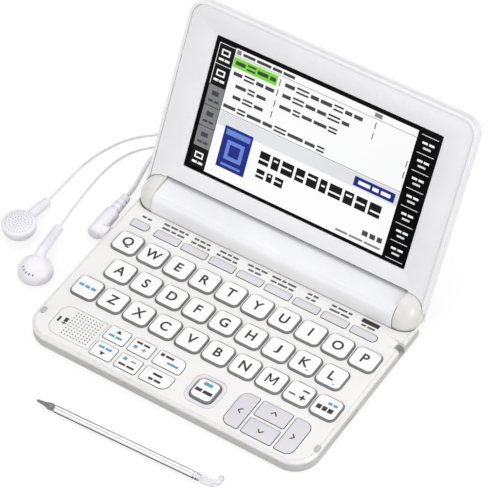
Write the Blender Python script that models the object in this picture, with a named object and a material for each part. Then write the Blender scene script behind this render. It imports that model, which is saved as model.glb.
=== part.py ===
"""Folding electronic dictionary with its stylus and plugged-in earphones.

Metres, +Z up. X runs along the hinge, +Y points to the hinge, and the origin
is the middle of the underside of the keyboard half, on the surface it rests on.
"""
import math

import bmesh
import bpy
from mathutils import Matrix, Vector

# Key grid, which sets the width and the depth of the keyboard half
KEY_PITCH_X = 0.0140
KEY_PITCH_Y = 0.01565
KEY_LEFT_MARGIN = 0.0122
KEY_RIGHT_MARGIN = 0.0098
KEYS_IN_FIRST_ROW = 10
LAST_ROW_SETBACK = 0.03345
FIRST_ROW_TO_BARREL = 0.0213

# Shell of the keyboard half
FRONT_CORNER_RADIUS = 0.012
UNDERSIDE_Z = 0.0
CASE_TOP_Z = 0.0047
PANEL_TOP_Z = 0.0074
PANEL_THICKNESS = 0.0009
WALL = 0.0012
FLOOR_THICKNESS = 0.0012
CASE_BOTTOM_EDGE = 0.0010
PANEL_EDGE_DROP = 0.0008
PANEL_EDGE_INSET = 0.0009
PANEL_EDGE_STEP_SHARE = 0.3
HORN_WIDTH = 0.0045
HORN_SETBACK = 0.0021
TRAY_SETBACK = 0.0051
PLAN_STEPS = 10
SMALL_CORNER = 0.0005

# Clearances
PARTING_GAP = 0.0003
SEAT_GAP = 0.0003
KEY_GAP = 0.00025
HINGE_GAP = 0.0003
SWEEP_GAP = 0.0005
CUT_OVERRUN = 0.002

# Hinge barrel and the two turning caps
BARREL_RADIUS = 0.0095
BARREL_SHIFT_Y = 0.0003
BARREL_OVERHANG = 0.00045
BARREL_FLAT_SHARE = 0.768
BARREL_ARC_STEPS = 30
PIN_RADIUS = 0.0030
PIN_LENGTH = 0.0061
CAP_STEP = 0.0002
CAP_LENGTH = 0.0098
CAP_DOME_POWER = 2.6
CAP_DOME_SHARES = (0.0, 0.18, 0.36, 0.52, 0.66, 0.78, 0.88, 0.95, 0.985)
CAP_TURN_STEPS = 28

# Two AA cells in the barrel and the door behind them
CELL_NUB_RADIUS = 0.00275
CELL_NUB_LENGTH = 0.0013
CELL_DROP = 0.0012
CELL_GAP = 0.0003
BAY_END_GAP = 0.0016
BAY_END_WALL = 0.0054
CELL_TURN_STEPS = 20
COVER_THICKNESS = 0.0008
COVER_LOW_DEGREES = -75.5
COVER_HIGH_DEGREES = 15.5
COVER_ARC_STEPS = 9
COVER_EDGE_DEGREES = 2.5

# Lid: v runs up the lid from the hinge axis, depths are measured behind the axis plane
LID_OPEN_DEGREES = 119.0
LID_FRONT_SETBACK = 0.00005
LID_EAR_V = -0.0025
LID_SWEEP_GAP = 0.0004
LID_BACK_DEPTH = 0.0059
LID_RIM_RISE = 0.0009
LID_CORNER_RADIUS = 0.0085
LID_EAR_CORNER_RADIUS = 0.0012
LID_BACK_EDGE = 0.0022
LID_BACK_EDGE_STEP_SHARE = 0.32
LID_RIM_WIDTH = 0.0014
LID_BACK_WALL = 0.0012
LID_BOTTOM_WALL = 0.0014
BEZEL_FACE_RISE = 0.0005
BEZEL_THICKNESS = 0.0012
SCREEN_LEFT_MARGIN = 0.01625
SCREEN_RIGHT_MARGIN = 0.01485
SCREEN_LOW_MARGIN = 0.0080
SCREEN_TOP_MARGIN = 0.0127
SCREEN_RECESS = 0.0003
TOUCH_THICKNESS = 0.0011
LCD_THICKNESS = 0.0030
LCD_MARGIN = 0.0020

# Raised letter keys
KEY_SIDE_SPACE = 0.0010
KEY_ROW_SPACE = 0.00335
KEY_CORNER_RADIUS = 0.0030
KEY_TOP_Z = 0.0086
KEY_SHOULDER_DROP = 0.00025
KEY_SKIRT_RISE = 0.0001
KEY_SKIRT_INSET = 0.0008
KEY_TOP_INSET = 0.0013
KEY_FLANGE_SIDE = 0.00015
KEY_FLANGE_FRONT = 0.00095
KEY_FLANGE_THICKNESS = 0.0006
KEY_TRAVEL = 0.0008
KEY_CORNER_STEPS = 2

# Flush keys: power, function strip, side keys, cursor keys, enter
FLUSH_KEY_RISE = 0.00015
FLUSH_CORNER_RADIUS = 0.0006
FLUSH_END_RADIUS = 0.0017
TOP_ROW_SETBACK = 0.0091
TOP_ROW_DEPTH = 0.0040
POWER_KEY_MARGIN = 0.0106
POWER_KEY_WIDTH = 0.0090
FUNCTION_LEFT_MARGIN = 0.0254
FUNCTION_RIGHT_MARGIN = 0.0181
FUNCTION_KEY_SPACE = 0.0021
FUNCTION_KEY_COUNT = 8
SIDE_KEY_START_SHARE = 1.53
SIDE_KEY_WIDTH_SHARES = (0.77, 0.79, 1.03)
SIDE_KEY_SPACE = 0.0022
SIDE_KEY_SETBACK = 0.00395
SIDE_KEY_DEPTH = 0.0080
SIDE_KEY_ROW_PITCH = 0.0103
CURSOR_START_SHARE = 6.505
CURSOR_END_SHARE = 0.593
CURSOR_MIDDLE_SHARE = 1.071
CURSOR_SPACE = 0.0019
CURSOR_SETBACK = 0.00345
CURSOR_DEPTH = 0.0191
CURSOR_CORNER_RADIUS = 0.0038
ENTER_PLACE_SHARE = 5.486
ENTER_SETBACK = 0.01335
ENTER_WIDTH = 0.0116
ENTER_DEPTH = 0.0120
ENTER_RING_BAND = 0.0022
ENTER_RING_RADIUS = 0.0046
ENTER_RING_RECESS = 0.0004

# Speaker recess, stylus mouth, card slot and lid bumpers in the panel
SPEAKER_RECESS_MARGIN = 0.0090
SPEAKER_RECESS_SETBACK = 0.00455
SPEAKER_RECESS_SPACE = 0.0012
SPEAKER_RECESS_DEPTH_Y = 0.0172
SPEAKER_RECESS_RADIUS = 0.0050
SPEAKER_RECESS_SINK = 0.0004
SPEAKER_RADIUS = 0.0075
SPEAKER_MAGNET_RADIUS = 0.0045
SPEAKER_HEIGHT = 0.0030
SPEAKER_FRAME_HEIGHT = 0.0012
SPEAKER_STEPS = 16
MOUTH_OFFSET = 0.0023
MOUTH_LENGTH = 0.0048
MOUTH_WIDTH = 0.0030
MOUTH_BOTTOM_Z = 0.0026
SLOT_OFFSET = 0.0040
SLOT_LENGTH = 0.0098
SLOT_SINK = 0.0005
SLOT_LOW_Z = 0.0016
SLOT_HEIGHT = 0.0024
BUMPER_SETBACK = 0.01315
BUMPER_LENGTH = 0.0034
BUMPER_WIDTH = 0.0030
BUMPER_SINK = 0.0004
SILO_WIDTH = 0.0039
SILO_RIB_THICKNESS = 0.0009
SILO_RIB_TOP_Z = 0.0046

# Inside the keyboard half
BOARD_THICKNESS = 0.0010
BOARD_SIDE_SETBACK = 0.0040
BOARD_FRONT_SETBACK = 0.00275
BOARD_REAR_SETBACK = 0.0033
BOARD_CORNER = 0.0060
MAT_THICKNESS = 0.0006
MAT_SPEAKER_SPACE = 0.0022
DOME_RADIUS = 0.0026
DOME_TOP_RADIUS = 0.0016
DOME_HEIGHT = 0.0012
DOME_STEPS = 6

# Earphone jack and plug, on one line along X
JACK_OFFSET_Y = 0.0025
JACK_Z = 0.00375
JACK_LENGTH = 0.0130
JACK_WIDTH = 0.0060
JACK_HEIGHT = 0.0045
JACK_BORE_RADIUS = 0.00205
JACK_END_WALL = 0.0007
PLUG_PIN_RADIUS = 0.00175
PLUG_PIN_TIP_RADIUS = 0.0010
PLUG_PIN_TIP_LENGTH = 0.0014
PLUG_COLLAR_GAP = 0.0004
PLUG_COLLAR_RADIUS = 0.0030
PLUG_BODY_RADIUS = 0.0037
PLUG_REACH = 0.0066
PLUG_BODY_LENGTH = 0.0176
PLUG_BODY_SETBACK = 0.0044
PLUG_END_SHARE = 0.7
PLUG_NECK_RADIUS = 0.0023
PLUG_NECK_LENGTH = 0.0016
RELIEF_RADIUS = 0.0027
RELIEF_END_RADIUS = 0.0018
RELIEF_LENGTH = 0.0088
ROUND_STEPS = 16
JACK_HOLE_GAP = 0.0006

# Earphone cord
TRUNK_DIAMETER = 0.0019
LEAD_DIAMETER = 0.0010
CORD_FLOOR_GAP = 0.00005
COIL_X = -0.046
COIL_Y = 0.100
COIL_MEAN_RADIUS = 0.0107
COIL_RADIAL_PITCH = 0.0024
COIL_LAYER_PITCH = 0.00235
COIL_LAYER_TURNS = 5.5
COIL_CLIMB_TURNS = 0.5
COIL_POINTS_PER_TURN = 24
COIL_TAIL_LENGTH = 0.0120
COIL_TAIL_STEPS = 6
SPLITTER_LENGTH = 0.0160
SPLITTER_RADIUS = 0.0019
SPLITTER_END_RADIUS = 0.0016
SPLITTER_Z = 0.0020
CORD_POINT_STEP = 0.0052
LEAD_POINT_STEP = 0.0045

# Earbuds
BUD_RADIUS = 0.0082
BUD_RIM_HEIGHT = 0.0014
BUD_FACE_RISE = 0.0010
BUD_BACK_HEIGHT = 0.0058
BUD_BACK_SHARES = ((0.0, 0.33), (0.15, 0.62), (0.4, 0.85), (0.7, 0.965), (1.0, 1.0))
BUD_FACE_SHARES = ((0.0, 1.0), (0.5, 0.86), (1.0, 0.5))
BUD_STEPS = 24
BUD_FLOOR_GAP = 0.0002
STEM_PLACE_SHARES = (0.02, 0.12, 0.24, 0.5, 1.0)
STEM_RADII = (0.0024, 0.0027, 0.0026, 0.0022, 0.0020)
LEFT_BUD_PLACE = (-0.1111, -0.0041)
LEFT_STEM_END = (-0.1104, 0.0163)
LEFT_STEM_HEIGHTS = (0.0046, 0.0046, 0.0045, 0.0038, 0.0028)
RIGHT_BUD_PLACE = (-0.0904, -0.0201)
RIGHT_STEM_END = (-0.0953, 0.0047)
RIGHT_STEM_HEIGHTS = (0.0055, 0.0082, 0.0081, 0.0070, 0.0048)

# Stylus
STYLUS_RADIUS = 0.00175
STYLUS_TUBE_LENGTH = 0.0732
STYLUS_TIP_LENGTH = 0.0097
STYLUS_COLLAR_LENGTH = 0.0016
STYLUS_POINT_RADIUS = 0.0005
STYLUS_START = (-0.0371, -0.0786)
STYLUS_TURN_DEGREES = 2.3
STYLUS_STEPS = 16
STYLUS_FLOOR_GAP = 0.00005
HOOK_RADIUS = 0.0015
HOOK_LENGTH = 0.0081
HOOK_SHARES = ((0.42, -0.03), (0.79, 0.06), (0.94, 0.235), (1.0, 0.42), (0.98, 0.617))

# Places and sizes that follow from the ones above
BODY_WIDTH = KEY_LEFT_MARGIN + (KEYS_IN_FIRST_ROW - 1) * KEY_PITCH_X + KEY_RIGHT_MARGIN
BODY_DEPTH = (LAST_ROW_SETBACK + 2 * KEY_PITCH_Y + FIRST_ROW_TO_BARREL + 2 * BARREL_RADIUS
              + BARREL_OVERHANG)
HALF_WIDTH = BODY_WIDTH / 2
FRONT_Y = -BODY_DEPTH / 2
KEY_WIDTH = KEY_PITCH_X - KEY_SIDE_SPACE
KEY_DEPTH = KEY_PITCH_Y - KEY_ROW_SPACE
FIRST_KEY_X = -HALF_WIDTH + KEY_LEFT_MARGIN
LAST_KEY_Y = FRONT_Y + LAST_ROW_SETBACK
FIRST_KEY_Y = LAST_KEY_Y + 2 * KEY_PITCH_Y
BARREL_FRONT_Y = FIRST_KEY_Y + FIRST_ROW_TO_BARREL
BARREL_Y = BARREL_FRONT_Y + BARREL_RADIUS
AXIS_Y = BARREL_Y + BARREL_SHIFT_Y
AXIS_Z = BARREL_RADIUS
CAP_RADIUS = BARREL_RADIUS - CAP_STEP
CELL_RADIUS = BARREL_RADIUS - COVER_THICKNESS - SEAT_GAP - CELL_DROP
HORN_REAR_Y = AXIS_Y - HORN_SETBACK
PLAN_RADII = (FRONT_CORNER_RADIUS, FRONT_CORNER_RADIUS, SMALL_CORNER, SMALL_CORNER)
BARREL_HALF_LENGTH = HALF_WIDTH - CAP_LENGTH - HINGE_GAP
BAY_HALF_LENGTH = BARREL_HALF_LENGTH - PIN_LENGTH - HINGE_GAP - BAY_END_WALL
CELL_LENGTH = BAY_HALF_LENGTH - BAY_END_GAP - CELL_NUB_LENGTH
LID_TOP_V = AXIS_Y - FRONT_Y - LID_FRONT_SETBACK
LID_LOWER_V = BARREL_RADIUS + BARREL_SHIFT_Y + LID_SWEEP_GAP
SCREEN_LEFT_X = -HALF_WIDTH + SCREEN_LEFT_MARGIN
SCREEN_RIGHT_X = HALF_WIDTH - SCREEN_RIGHT_MARGIN
SCREEN_LOW_V = LID_LOWER_V + SCREEN_LOW_MARGIN
SCREEN_TOP_V = LID_TOP_V - SCREEN_TOP_MARGIN
TOP_ROW_Y = BARREL_FRONT_Y - TOP_ROW_SETBACK
POWER_KEY_X = -HALF_WIDTH + POWER_KEY_MARGIN
FUNCTION_KEY_X = -HALF_WIDTH + FUNCTION_LEFT_MARGIN
FUNCTION_KEY_PITCH = (BODY_WIDTH - FUNCTION_LEFT_MARGIN - FUNCTION_RIGHT_MARGIN) / (FUNCTION_KEY_COUNT - 1)
FUNCTION_KEY_WIDTH = FUNCTION_KEY_PITCH - FUNCTION_KEY_SPACE
SIDE_KEY_LEFT_X = FIRST_KEY_X + SIDE_KEY_START_SHARE * KEY_PITCH_X
SIDE_KEY_FRONT_Y = FRONT_Y + SIDE_KEY_SETBACK
CURSOR_LEFT_X = FIRST_KEY_X + CURSOR_START_SHARE * KEY_PITCH_X
CURSOR_FRONT_Y = FRONT_Y + CURSOR_SETBACK
CURSOR_END_WIDTH = CURSOR_END_SHARE * KEY_PITCH_X
CURSOR_MIDDLE_WIDTH = CURSOR_MIDDLE_SHARE * KEY_PITCH_X
ENTER_X = FIRST_KEY_X + ENTER_PLACE_SHARE * KEY_PITCH_X
ENTER_Y = FRONT_Y + ENTER_SETBACK
SPEAKER_RECESS_LEFT_X = -HALF_WIDTH + SPEAKER_RECESS_MARGIN
SPEAKER_RECESS_RIGHT_X = SIDE_KEY_LEFT_X - SPEAKER_RECESS_SPACE
SPEAKER_RECESS_FRONT_Y = FRONT_Y + SPEAKER_RECESS_SETBACK
SPEAKER_RECESS_REAR_Y = SPEAKER_RECESS_FRONT_Y + SPEAKER_RECESS_DEPTH_Y
MOUTH_Y = TOP_ROW_Y + MOUTH_OFFSET
SLOT_Y = LAST_KEY_Y + SLOT_OFFSET
BUMPER_Y = FRONT_Y + BUMPER_SETBACK
SILO_LEFT_X = HALF_WIDTH - WALL - SILO_WIDTH
BOARD_LEFT_X = -HALF_WIDTH + BOARD_SIDE_SETBACK
BOARD_RIGHT_X = SILO_LEFT_X - SILO_RIB_THICKNESS - 2 * SEAT_GAP
BOARD_FRONT_Y = FRONT_Y + BOARD_FRONT_SETBACK
BOARD_REAR_Y = BARREL_FRONT_Y - BOARD_REAR_SETBACK
JACK_Y = FIRST_KEY_Y + JACK_OFFSET_Y
PLUG_BODY_X = -HALF_WIDTH - PLUG_REACH
PLATE_UNDER_Z = PANEL_TOP_Z - PANEL_THICKNESS
FLANGE_TOP_Z = PLATE_UNDER_Z - SEAT_GAP
FLANGE_BOTTOM_Z = FLANGE_TOP_Z - KEY_FLANGE_THICKNESS
BOARD_BOTTOM_Z = FLOOR_THICKNESS + SEAT_GAP
BOARD_TOP_Z = BOARD_BOTTOM_Z + BOARD_THICKNESS
MAT_BOTTOM_Z = BOARD_TOP_Z + SEAT_GAP
MAT_TOP_Z = MAT_BOTTOM_Z + MAT_THICKNESS
JACK_LEFT_X = -HALF_WIDTH + WALL + SEAT_GAP
JACK_RIGHT_X = JACK_LEFT_X + JACK_LENGTH

# Points that the cords' free stretches pass, in metres
TRUNK_ROUTE = (
    (-0.0806, 0.0384, 0.00375), (-0.0808, 0.0412, 0.0036), (-0.0814, 0.0444, 0.0030),
    (-0.0825, 0.0484, 0.0021), (-0.0842, 0.0541, 0.0011), (-0.0854, 0.0594, 0.0010),
    (-0.0863, 0.0650, 0.0010), (-0.0855, 0.0710, 0.0010), (-0.0818, 0.0760, 0.0010),
    (-0.0750, 0.0789, 0.0010), (-0.0660, 0.0809, 0.0010), (-0.0560, 0.0822, 0.0010),
    (-0.0500, 0.0824, 0.0010), (-0.0463, 0.0824, 0.0010),
)
LEAD_LEFT_ROUTE = (
    (-0.1105, 0.0167, 0.0028), (-0.1107, 0.0222, 0.0023), (-0.1111, 0.0305, 0.0014),
    (-0.1113, 0.0386, 0.0007), (-0.1109, 0.0460, 0.00055), (-0.1095, 0.0537, 0.00055),
    (-0.1073, 0.0603, 0.00055), (-0.1047, 0.0663, 0.00055), (-0.1014, 0.0714, 0.00055),
    (-0.0975, 0.0757, 0.00055), (-0.0934, 0.0795, 0.00055), (-0.0902, 0.0860, 0.00055),
    (-0.0892, 0.0940, 0.00055), (-0.0894, 0.1035, 0.00055), (-0.0873, 0.1118, 0.00070),
    (-0.0818, 0.1171, 0.0014), (-0.0770, 0.11835, 0.0020), (-0.0746, 0.11835, 0.0020),
)
LEAD_RIGHT_ROUTE = (
    (-0.0955, 0.0051, 0.0048), (-0.0963, 0.0118, 0.0043), (-0.0979, 0.0201, 0.0032),
    (-0.0993, 0.0284, 0.0019), (-0.1002, 0.0360, 0.0010), (-0.1006, 0.0444, 0.0006),
    (-0.1001, 0.0516, 0.00055), (-0.0988, 0.0579, 0.00055), (-0.0968, 0.0632, 0.00055),
    (-0.0941, 0.0675, 0.00055), (-0.0909, 0.0711, 0.00055), (-0.0880, 0.0750, 0.00055),
    (-0.0861, 0.0805, 0.00055), (-0.0854, 0.0880, 0.00055), (-0.0858, 0.0965, 0.00055),
    (-0.0858, 0.1045, 0.00055), (-0.0840, 0.1106, 0.00070), (-0.0802, 0.1149, 0.0014),
    (-0.0770, 0.11685, 0.0020), (-0.0746, 0.11685, 0.0020),
)


def clear_scene():
    """Remove every object that the file opens with."""
    for item in list(bpy.data.objects):
        bpy.data.objects.remove(item, do_unlink=True)


def finish(name, colour, roughness, metallic=0.0):
    """A Principled material for one piece."""
    material = bpy.data.materials.new(name)
    material.use_nodes = True
    shader = material.node_tree.nodes["Principled BSDF"]
    shader.inputs["Base Color"].default_value = (*colour, 1.0)
    shader.inputs["Roughness"].default_value = roughness
    shader.inputs["Metallic"].default_value = metallic
    return material


def add_object(name, form, material=None, parent=None):
    """Turn a bmesh into a named object, with its normals outwards."""
    bmesh.ops.recalc_face_normals(form, faces=form.faces)
    mesh = bpy.data.meshes.new(name)
    form.to_mesh(mesh)
    form.free()
    item = bpy.data.objects.new(name, mesh)
    bpy.context.scene.collection.objects.link(item)
    if material:
        mesh.materials.append(material)
    if parent:
        item.parent = parent
    return item


def make_cutter(item):
    """Mark an object as a cutter or an addition that is not a piece itself."""
    item.hide_render = True
    item.display_type = 'WIRE'
    return item


def combine(item, other, operation='DIFFERENCE'):
    """Cut or join one object with another by an exact Boolean."""
    modifier = item.modifiers.new(other.name, 'BOOLEAN')
    modifier.operation = operation
    modifier.solver = 'EXACT'
    modifier.object = make_cutter(other)
    return item


def smooth_round(item, angle=math.radians(35)):
    """Shade a round piece smooth and keep its real edges sharp."""
    item.data.shade_smooth()
    item.data.set_sharp_from_angle(angle=angle)
    return item


def loft(rings):
    """Closed solid through rings of points that all have the same count."""
    form = bmesh.new()
    rows = [[form.verts.new(point) for point in ring] for ring in rings]
    count = len(rows[0])
    for lower, upper in zip(rows, rows[1:]):
        for i in range(count):
            j = (i + 1) % count
            form.faces.new((lower[i], lower[j], upper[j], upper[i]))
    form.faces.new(list(reversed(rows[0])))
    form.faces.new(rows[-1])
    return form


def box(left, right, front, rear, low, high):
    """Box between six planes."""
    form = bmesh.new()
    bmesh.ops.create_cube(form, size=1.0)
    size = Vector((right - left, rear - front, high - low))
    middle = Vector((left + right, front + rear, low + high)) / 2
    bmesh.ops.transform(form, matrix=Matrix.Translation(middle) @ Matrix.Diagonal((*size, 1.0)),
                        verts=form.verts)
    return form


def rounded_outline(left, right, front, rear, radii, steps):
    """Outline with one corner radius each: front left, front right, rear right, rear left."""
    corners = ((left, front, 1, 1, 180), (right, front, -1, 1, 270),
               (right, rear, -1, -1, 0), (left, rear, 1, -1, 90))
    points = []
    for (x, y, side_x, side_y, start), radius in zip(corners, radii):
        for i in range(steps + 1):
            angle = math.radians(start + 90 * i / steps)
            points.append((x + side_x * radius + radius * math.cos(angle),
                           y + side_y * radius + radius * math.sin(angle)))
    return points


def prism(outline, low, high):
    """Upright prism over an outline."""
    return loft([[(x, y, z) for x, y in outline] for z in (low, high)])


def turned(profile, steps, place=(0, 0, 0), axis='X'):
    """Solid of revolution: profile holds (distance along the axis, radius)."""
    form = bmesh.new()
    rows = []
    for along, radius in profile:
        if radius == 0:
            rows.append([form.verts.new(axis_point(along, 0, 0, axis, place))])
            continue
        row = []
        for i in range(steps):
            angle = 2 * math.pi * (i + 0.5) / steps
            row.append(form.verts.new(axis_point(along, radius * math.cos(angle),
                                                 radius * math.sin(angle), axis, place)))
        rows.append(row)
    for lower, upper in zip(rows, rows[1:]):
        for i in range(steps):
            j = (i + 1) % steps
            if len(lower) == 1:
                form.faces.new((lower[0], upper[j], upper[i]))
            elif len(upper) == 1:
                form.faces.new((lower[i], lower[j], upper[0]))
            else:
                form.faces.new((lower[i], lower[j], upper[j], upper[i]))
    for row in (rows[0], rows[-1]):
        if len(row) > 1:
            form.faces.new(row)
    return form


def axis_point(along, first, second, axis, place):
    """Point at a distance along an axis and two offsets across it."""
    offsets = {'X': (along, first, second), 'Y': (first, along, second), 'Z': (first, second, along)}
    return Vector(place) + Vector(offsets[axis])


def smooth_route(points, step):
    """Points about a step apart on the smooth curve through a route's own points."""
    route = [Vector(point) for point in points]
    padded = [route[0] * 2 - route[1], *route, route[-1] * 2 - route[-2]]
    fine = []
    for p0, p1, p2, p3 in zip(padded, padded[1:], padded[2:], padded[3:]):
        pieces = max(1, round((p2 - p1).length / step))
        for i in range(pieces):
            t = i / pieces
            fine.append(0.5 * (2 * p1 + (p2 - p0) * t + (2 * p0 - 5 * p1 + 4 * p2 - p3) * t * t
                               + (3 * p1 - p0 - 3 * p2 + p3) * t * t * t))
    fine.append(route[-1])
    return fine


def tube(name, points, radius, resolution, material, parent=None):
    """Round tube along points, as a poly curve with filled ends."""
    curve = bpy.data.curves.new(name, 'CURVE')
    curve.dimensions = '3D'
    curve.bevel_depth = radius
    curve.bevel_resolution = resolution
    curve.use_fill_caps = True
    spline = curve.splines.new('POLY')
    spline.points.add(len(points) - 1)
    for knot, point in zip(spline.points, points):
        knot.co = (*point, 1.0)
    item = bpy.data.objects.new(name, curve)
    bpy.context.scene.collection.objects.link(item)
    curve.materials.append(material)
    if parent:
        item.parent = parent
    return item


def inset_outline(left, right, front, rear, radii, inset, steps):
    """The same outline drawn in on every side."""
    return rounded_outline(left + inset, right - inset, front + inset, rear - inset,
                           [max(radius - inset, radius / 4) for radius in radii], steps)


def base_plan(inset):
    """Plan of the keyboard half, drawn in by an inset."""
    return inset_outline(-HALF_WIDTH, HALF_WIDTH, FRONT_Y, HORN_REAR_Y, PLAN_RADII, inset, PLAN_STEPS)


def dome_radius(share):
    """Radius of a hinge cap at a share of its length from the barrel to its tip."""
    return CAP_RADIUS * math.sqrt(1 - share ** CAP_DOME_POWER)


def cap_profile(side, extra):
    """Turned profile of a hinge cap, grown by a clearance, from the barrel's end outwards."""
    start = BARREL_HALF_LENGTH + HINGE_GAP
    length = HALF_WIDTH - start
    points = []
    for share in CAP_DOME_SHARES:
        points.append((side * (start + share * (length + extra)), dome_radius(share) + extra))
    points[0] = (side * (start - extra), points[0][1])
    points.append((side * (start + length + extra), points[-1][1] / 2))
    return points


def cap_cutter(name, side, extra, parent=None, place=(0, AXIS_Y, AXIS_Z)):
    """Space that a hinge cap and a clearance take."""
    profile = cap_profile(side, extra)
    form = turned([(profile[0][0], 0), *profile, (profile[-1][0], 0)], CAP_TURN_STEPS, place)
    return add_object(name, form, parent=parent)


def cut_for_hinge(item, low, high):
    """Make room at the rear for the barrel, the turning caps and the lid's ears."""
    middle = add_object(item.name + "_rear_cut",
                        box(-HALF_WIDTH + HORN_WIDTH, HALF_WIDTH - HORN_WIDTH, AXIS_Y - TRAY_SETBACK,
                            HORN_REAR_Y + CUT_OVERRUN,
                            low - CUT_OVERRUN, high + CUT_OVERRUN))
    combine(item, middle)
    reach = BARREL_HALF_LENGTH + HINGE_GAP
    room = turned([(-reach, 0), (-reach, BARREL_RADIUS + SEAT_GAP), (reach, BARREL_RADIUS + SEAT_GAP),
                   (reach, 0)], 2 * BARREL_ARC_STEPS, (0, BARREL_Y, AXIS_Z))
    combine(item, add_object(item.name + "_barrel_cut", room))
    for side, label in ((-1, "left"), (1, "right")):
        combine(item, cap_cutter(item.name + "_cap_cut_" + label, side, SWEEP_GAP))


def cut_side_openings(item):
    """Hole for the earphone plug on the left, stylus mouth on the right."""
    hole = turned([(-HALF_WIDTH - CUT_OVERRUN, 0),
                   (-HALF_WIDTH - CUT_OVERRUN, PLUG_PIN_RADIUS + JACK_HOLE_GAP),
                   (-HALF_WIDTH + WALL + CUT_OVERRUN / 4, PLUG_PIN_RADIUS + JACK_HOLE_GAP),
                   (-HALF_WIDTH + WALL + CUT_OVERRUN / 4, 0)], ROUND_STEPS, (0, JACK_Y, JACK_Z))
    combine(item, add_object(item.name + "_plug_hole", hole))
    mouth = box(HALF_WIDTH - MOUTH_WIDTH, HALF_WIDTH + CUT_OVERRUN, MOUTH_Y - MOUTH_LENGTH / 2,
                MOUTH_Y + MOUTH_LENGTH / 2, MOUTH_BOTTOM_Z, PANEL_TOP_Z + CUT_OVERRUN)
    combine(item, add_object(item.name + "_stylus_mouth", mouth))


def make_lower_case():
    """Grey tray under the keys, with the stylus channel along its right side."""
    rings = [[(x, y, UNDERSIDE_Z) for x, y in base_plan(CASE_BOTTOM_EDGE)],
             [(x, y, CASE_BOTTOM_EDGE) for x, y in base_plan(0)],
             [(x, y, CASE_TOP_Z) for x, y in base_plan(0)]]
    case = add_object("lower_case", loft(rings), finish("grey_case", (0.56, 0.56, 0.55), 0.45))
    tray = inset_outline(-HALF_WIDTH, HALF_WIDTH, FRONT_Y, BARREL_FRONT_Y, PLAN_RADII, WALL, PLAN_STEPS)
    combine(case, add_object("case_tray", prism(tray, FLOOR_THICKNESS, CASE_TOP_Z + CUT_OVERRUN)))
    rib = box(SILO_LEFT_X - SILO_RIB_THICKNESS, SILO_LEFT_X, BOARD_FRONT_Y + SEAT_GAP,
              MOUTH_Y - MOUTH_LENGTH, FLOOR_THICKNESS / 2, SILO_RIB_TOP_Z)
    combine(case, add_object("silo_rib", rib), 'UNION')
    cut_for_hinge(case, UNDERSIDE_Z, CASE_TOP_Z)
    cut_side_openings(case)
    slot = box(HALF_WIDTH - SLOT_SINK, HALF_WIDTH + CUT_OVERRUN, SLOT_Y - SLOT_LENGTH / 2,
               SLOT_Y + SLOT_LENGTH / 2, SLOT_LOW_Z, SLOT_LOW_Z + SLOT_HEIGHT)
    combine(case, add_object("card_slot", slot))
    return case


def key_hole_outline(left, right, front, rear, radii, steps):
    """Hole outline round a key, wider than the key by its running gap."""
    return rounded_outline(left - KEY_GAP, right + KEY_GAP, front - KEY_GAP, rear + KEY_GAP,
                           [radius + KEY_GAP for radius in radii], steps)


def letter_key_places():
    """Every raised letter-row key: node name, centre x and centre y."""
    rows = (("qwertyuiop", 0.0), ("asdfghjkl", 0.5), ("zxcvbnm", 1.0))
    places = []
    for row, (letters, offset) in enumerate(rows):
        y = FIRST_KEY_Y - row * KEY_PITCH_Y
        for i, letter in enumerate(letters):
            places.append(("key_" + letter, FIRST_KEY_X + (offset + i) * KEY_PITCH_X, y))
    last_column = KEYS_IN_FIRST_ROW - 1
    places.append(("shift_key", FIRST_KEY_X, LAST_KEY_Y))
    places.append(("symbol_key", FIRST_KEY_X + (last_column - 1) * KEY_PITCH_X, LAST_KEY_Y))
    places.append(("delete_key", FIRST_KEY_X + last_column * KEY_PITCH_X, LAST_KEY_Y))
    return places


def function_key_boxes():
    """Left, right, front, rear and corner radii of the eight keys in the top strip."""
    boxes = []
    for i in range(FUNCTION_KEY_COUNT):
        middle = FUNCTION_KEY_X + i * FUNCTION_KEY_PITCH
        end = FLUSH_END_RADIUS if i == FUNCTION_KEY_COUNT - 1 else FLUSH_CORNER_RADIUS
        boxes.append((middle - FUNCTION_KEY_WIDTH / 2, middle + FUNCTION_KEY_WIDTH / 2,
                      TOP_ROW_Y - TOP_ROW_DEPTH / 2, TOP_ROW_Y + TOP_ROW_DEPTH / 2,
                      (FLUSH_CORNER_RADIUS, end, end, FLUSH_CORNER_RADIUS)))
    return boxes


def side_key_boxes():
    """The six flush keys beside the speaker, in two rows of three."""
    boxes = []
    for row in range(2):
        front = SIDE_KEY_FRONT_Y + row * SIDE_KEY_ROW_PITCH
        left = SIDE_KEY_LEFT_X
        for column, share in enumerate(SIDE_KEY_WIDTH_SHARES):
            width = share * KEY_PITCH_X
            radii = [FLUSH_CORNER_RADIUS] * 4
            if column == len(SIDE_KEY_WIDTH_SHARES) - 1:
                radii[1 + row] = CURSOR_CORNER_RADIUS
            boxes.append((left, left + width, front, front + SIDE_KEY_DEPTH, tuple(radii)))
            left += width + SIDE_KEY_SPACE
    return boxes


def cursor_key_boxes():
    """Left, down, up and right cursor keys, in one rounded block."""
    front = CURSOR_FRONT_Y
    rear = front + CURSOR_DEPTH
    half_depth = (CURSOR_DEPTH - CURSOR_SPACE) / 2
    small = FLUSH_CORNER_RADIUS
    large = CURSOR_CORNER_RADIUS
    middle_left = CURSOR_LEFT_X + CURSOR_END_WIDTH + CURSOR_SPACE
    middle_right = middle_left + CURSOR_MIDDLE_WIDTH
    right_left = middle_right + CURSOR_SPACE
    return [(CURSOR_LEFT_X, CURSOR_LEFT_X + CURSOR_END_WIDTH, front, rear, (large, small, small, large)),
            (middle_left, middle_right, front, front + half_depth, (small,) * 4),
            (middle_left, middle_right, rear - half_depth, rear, (small,) * 4),
            (right_left, right_left + CURSOR_END_WIDTH, front, rear, (small, large, large, small))]


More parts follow.
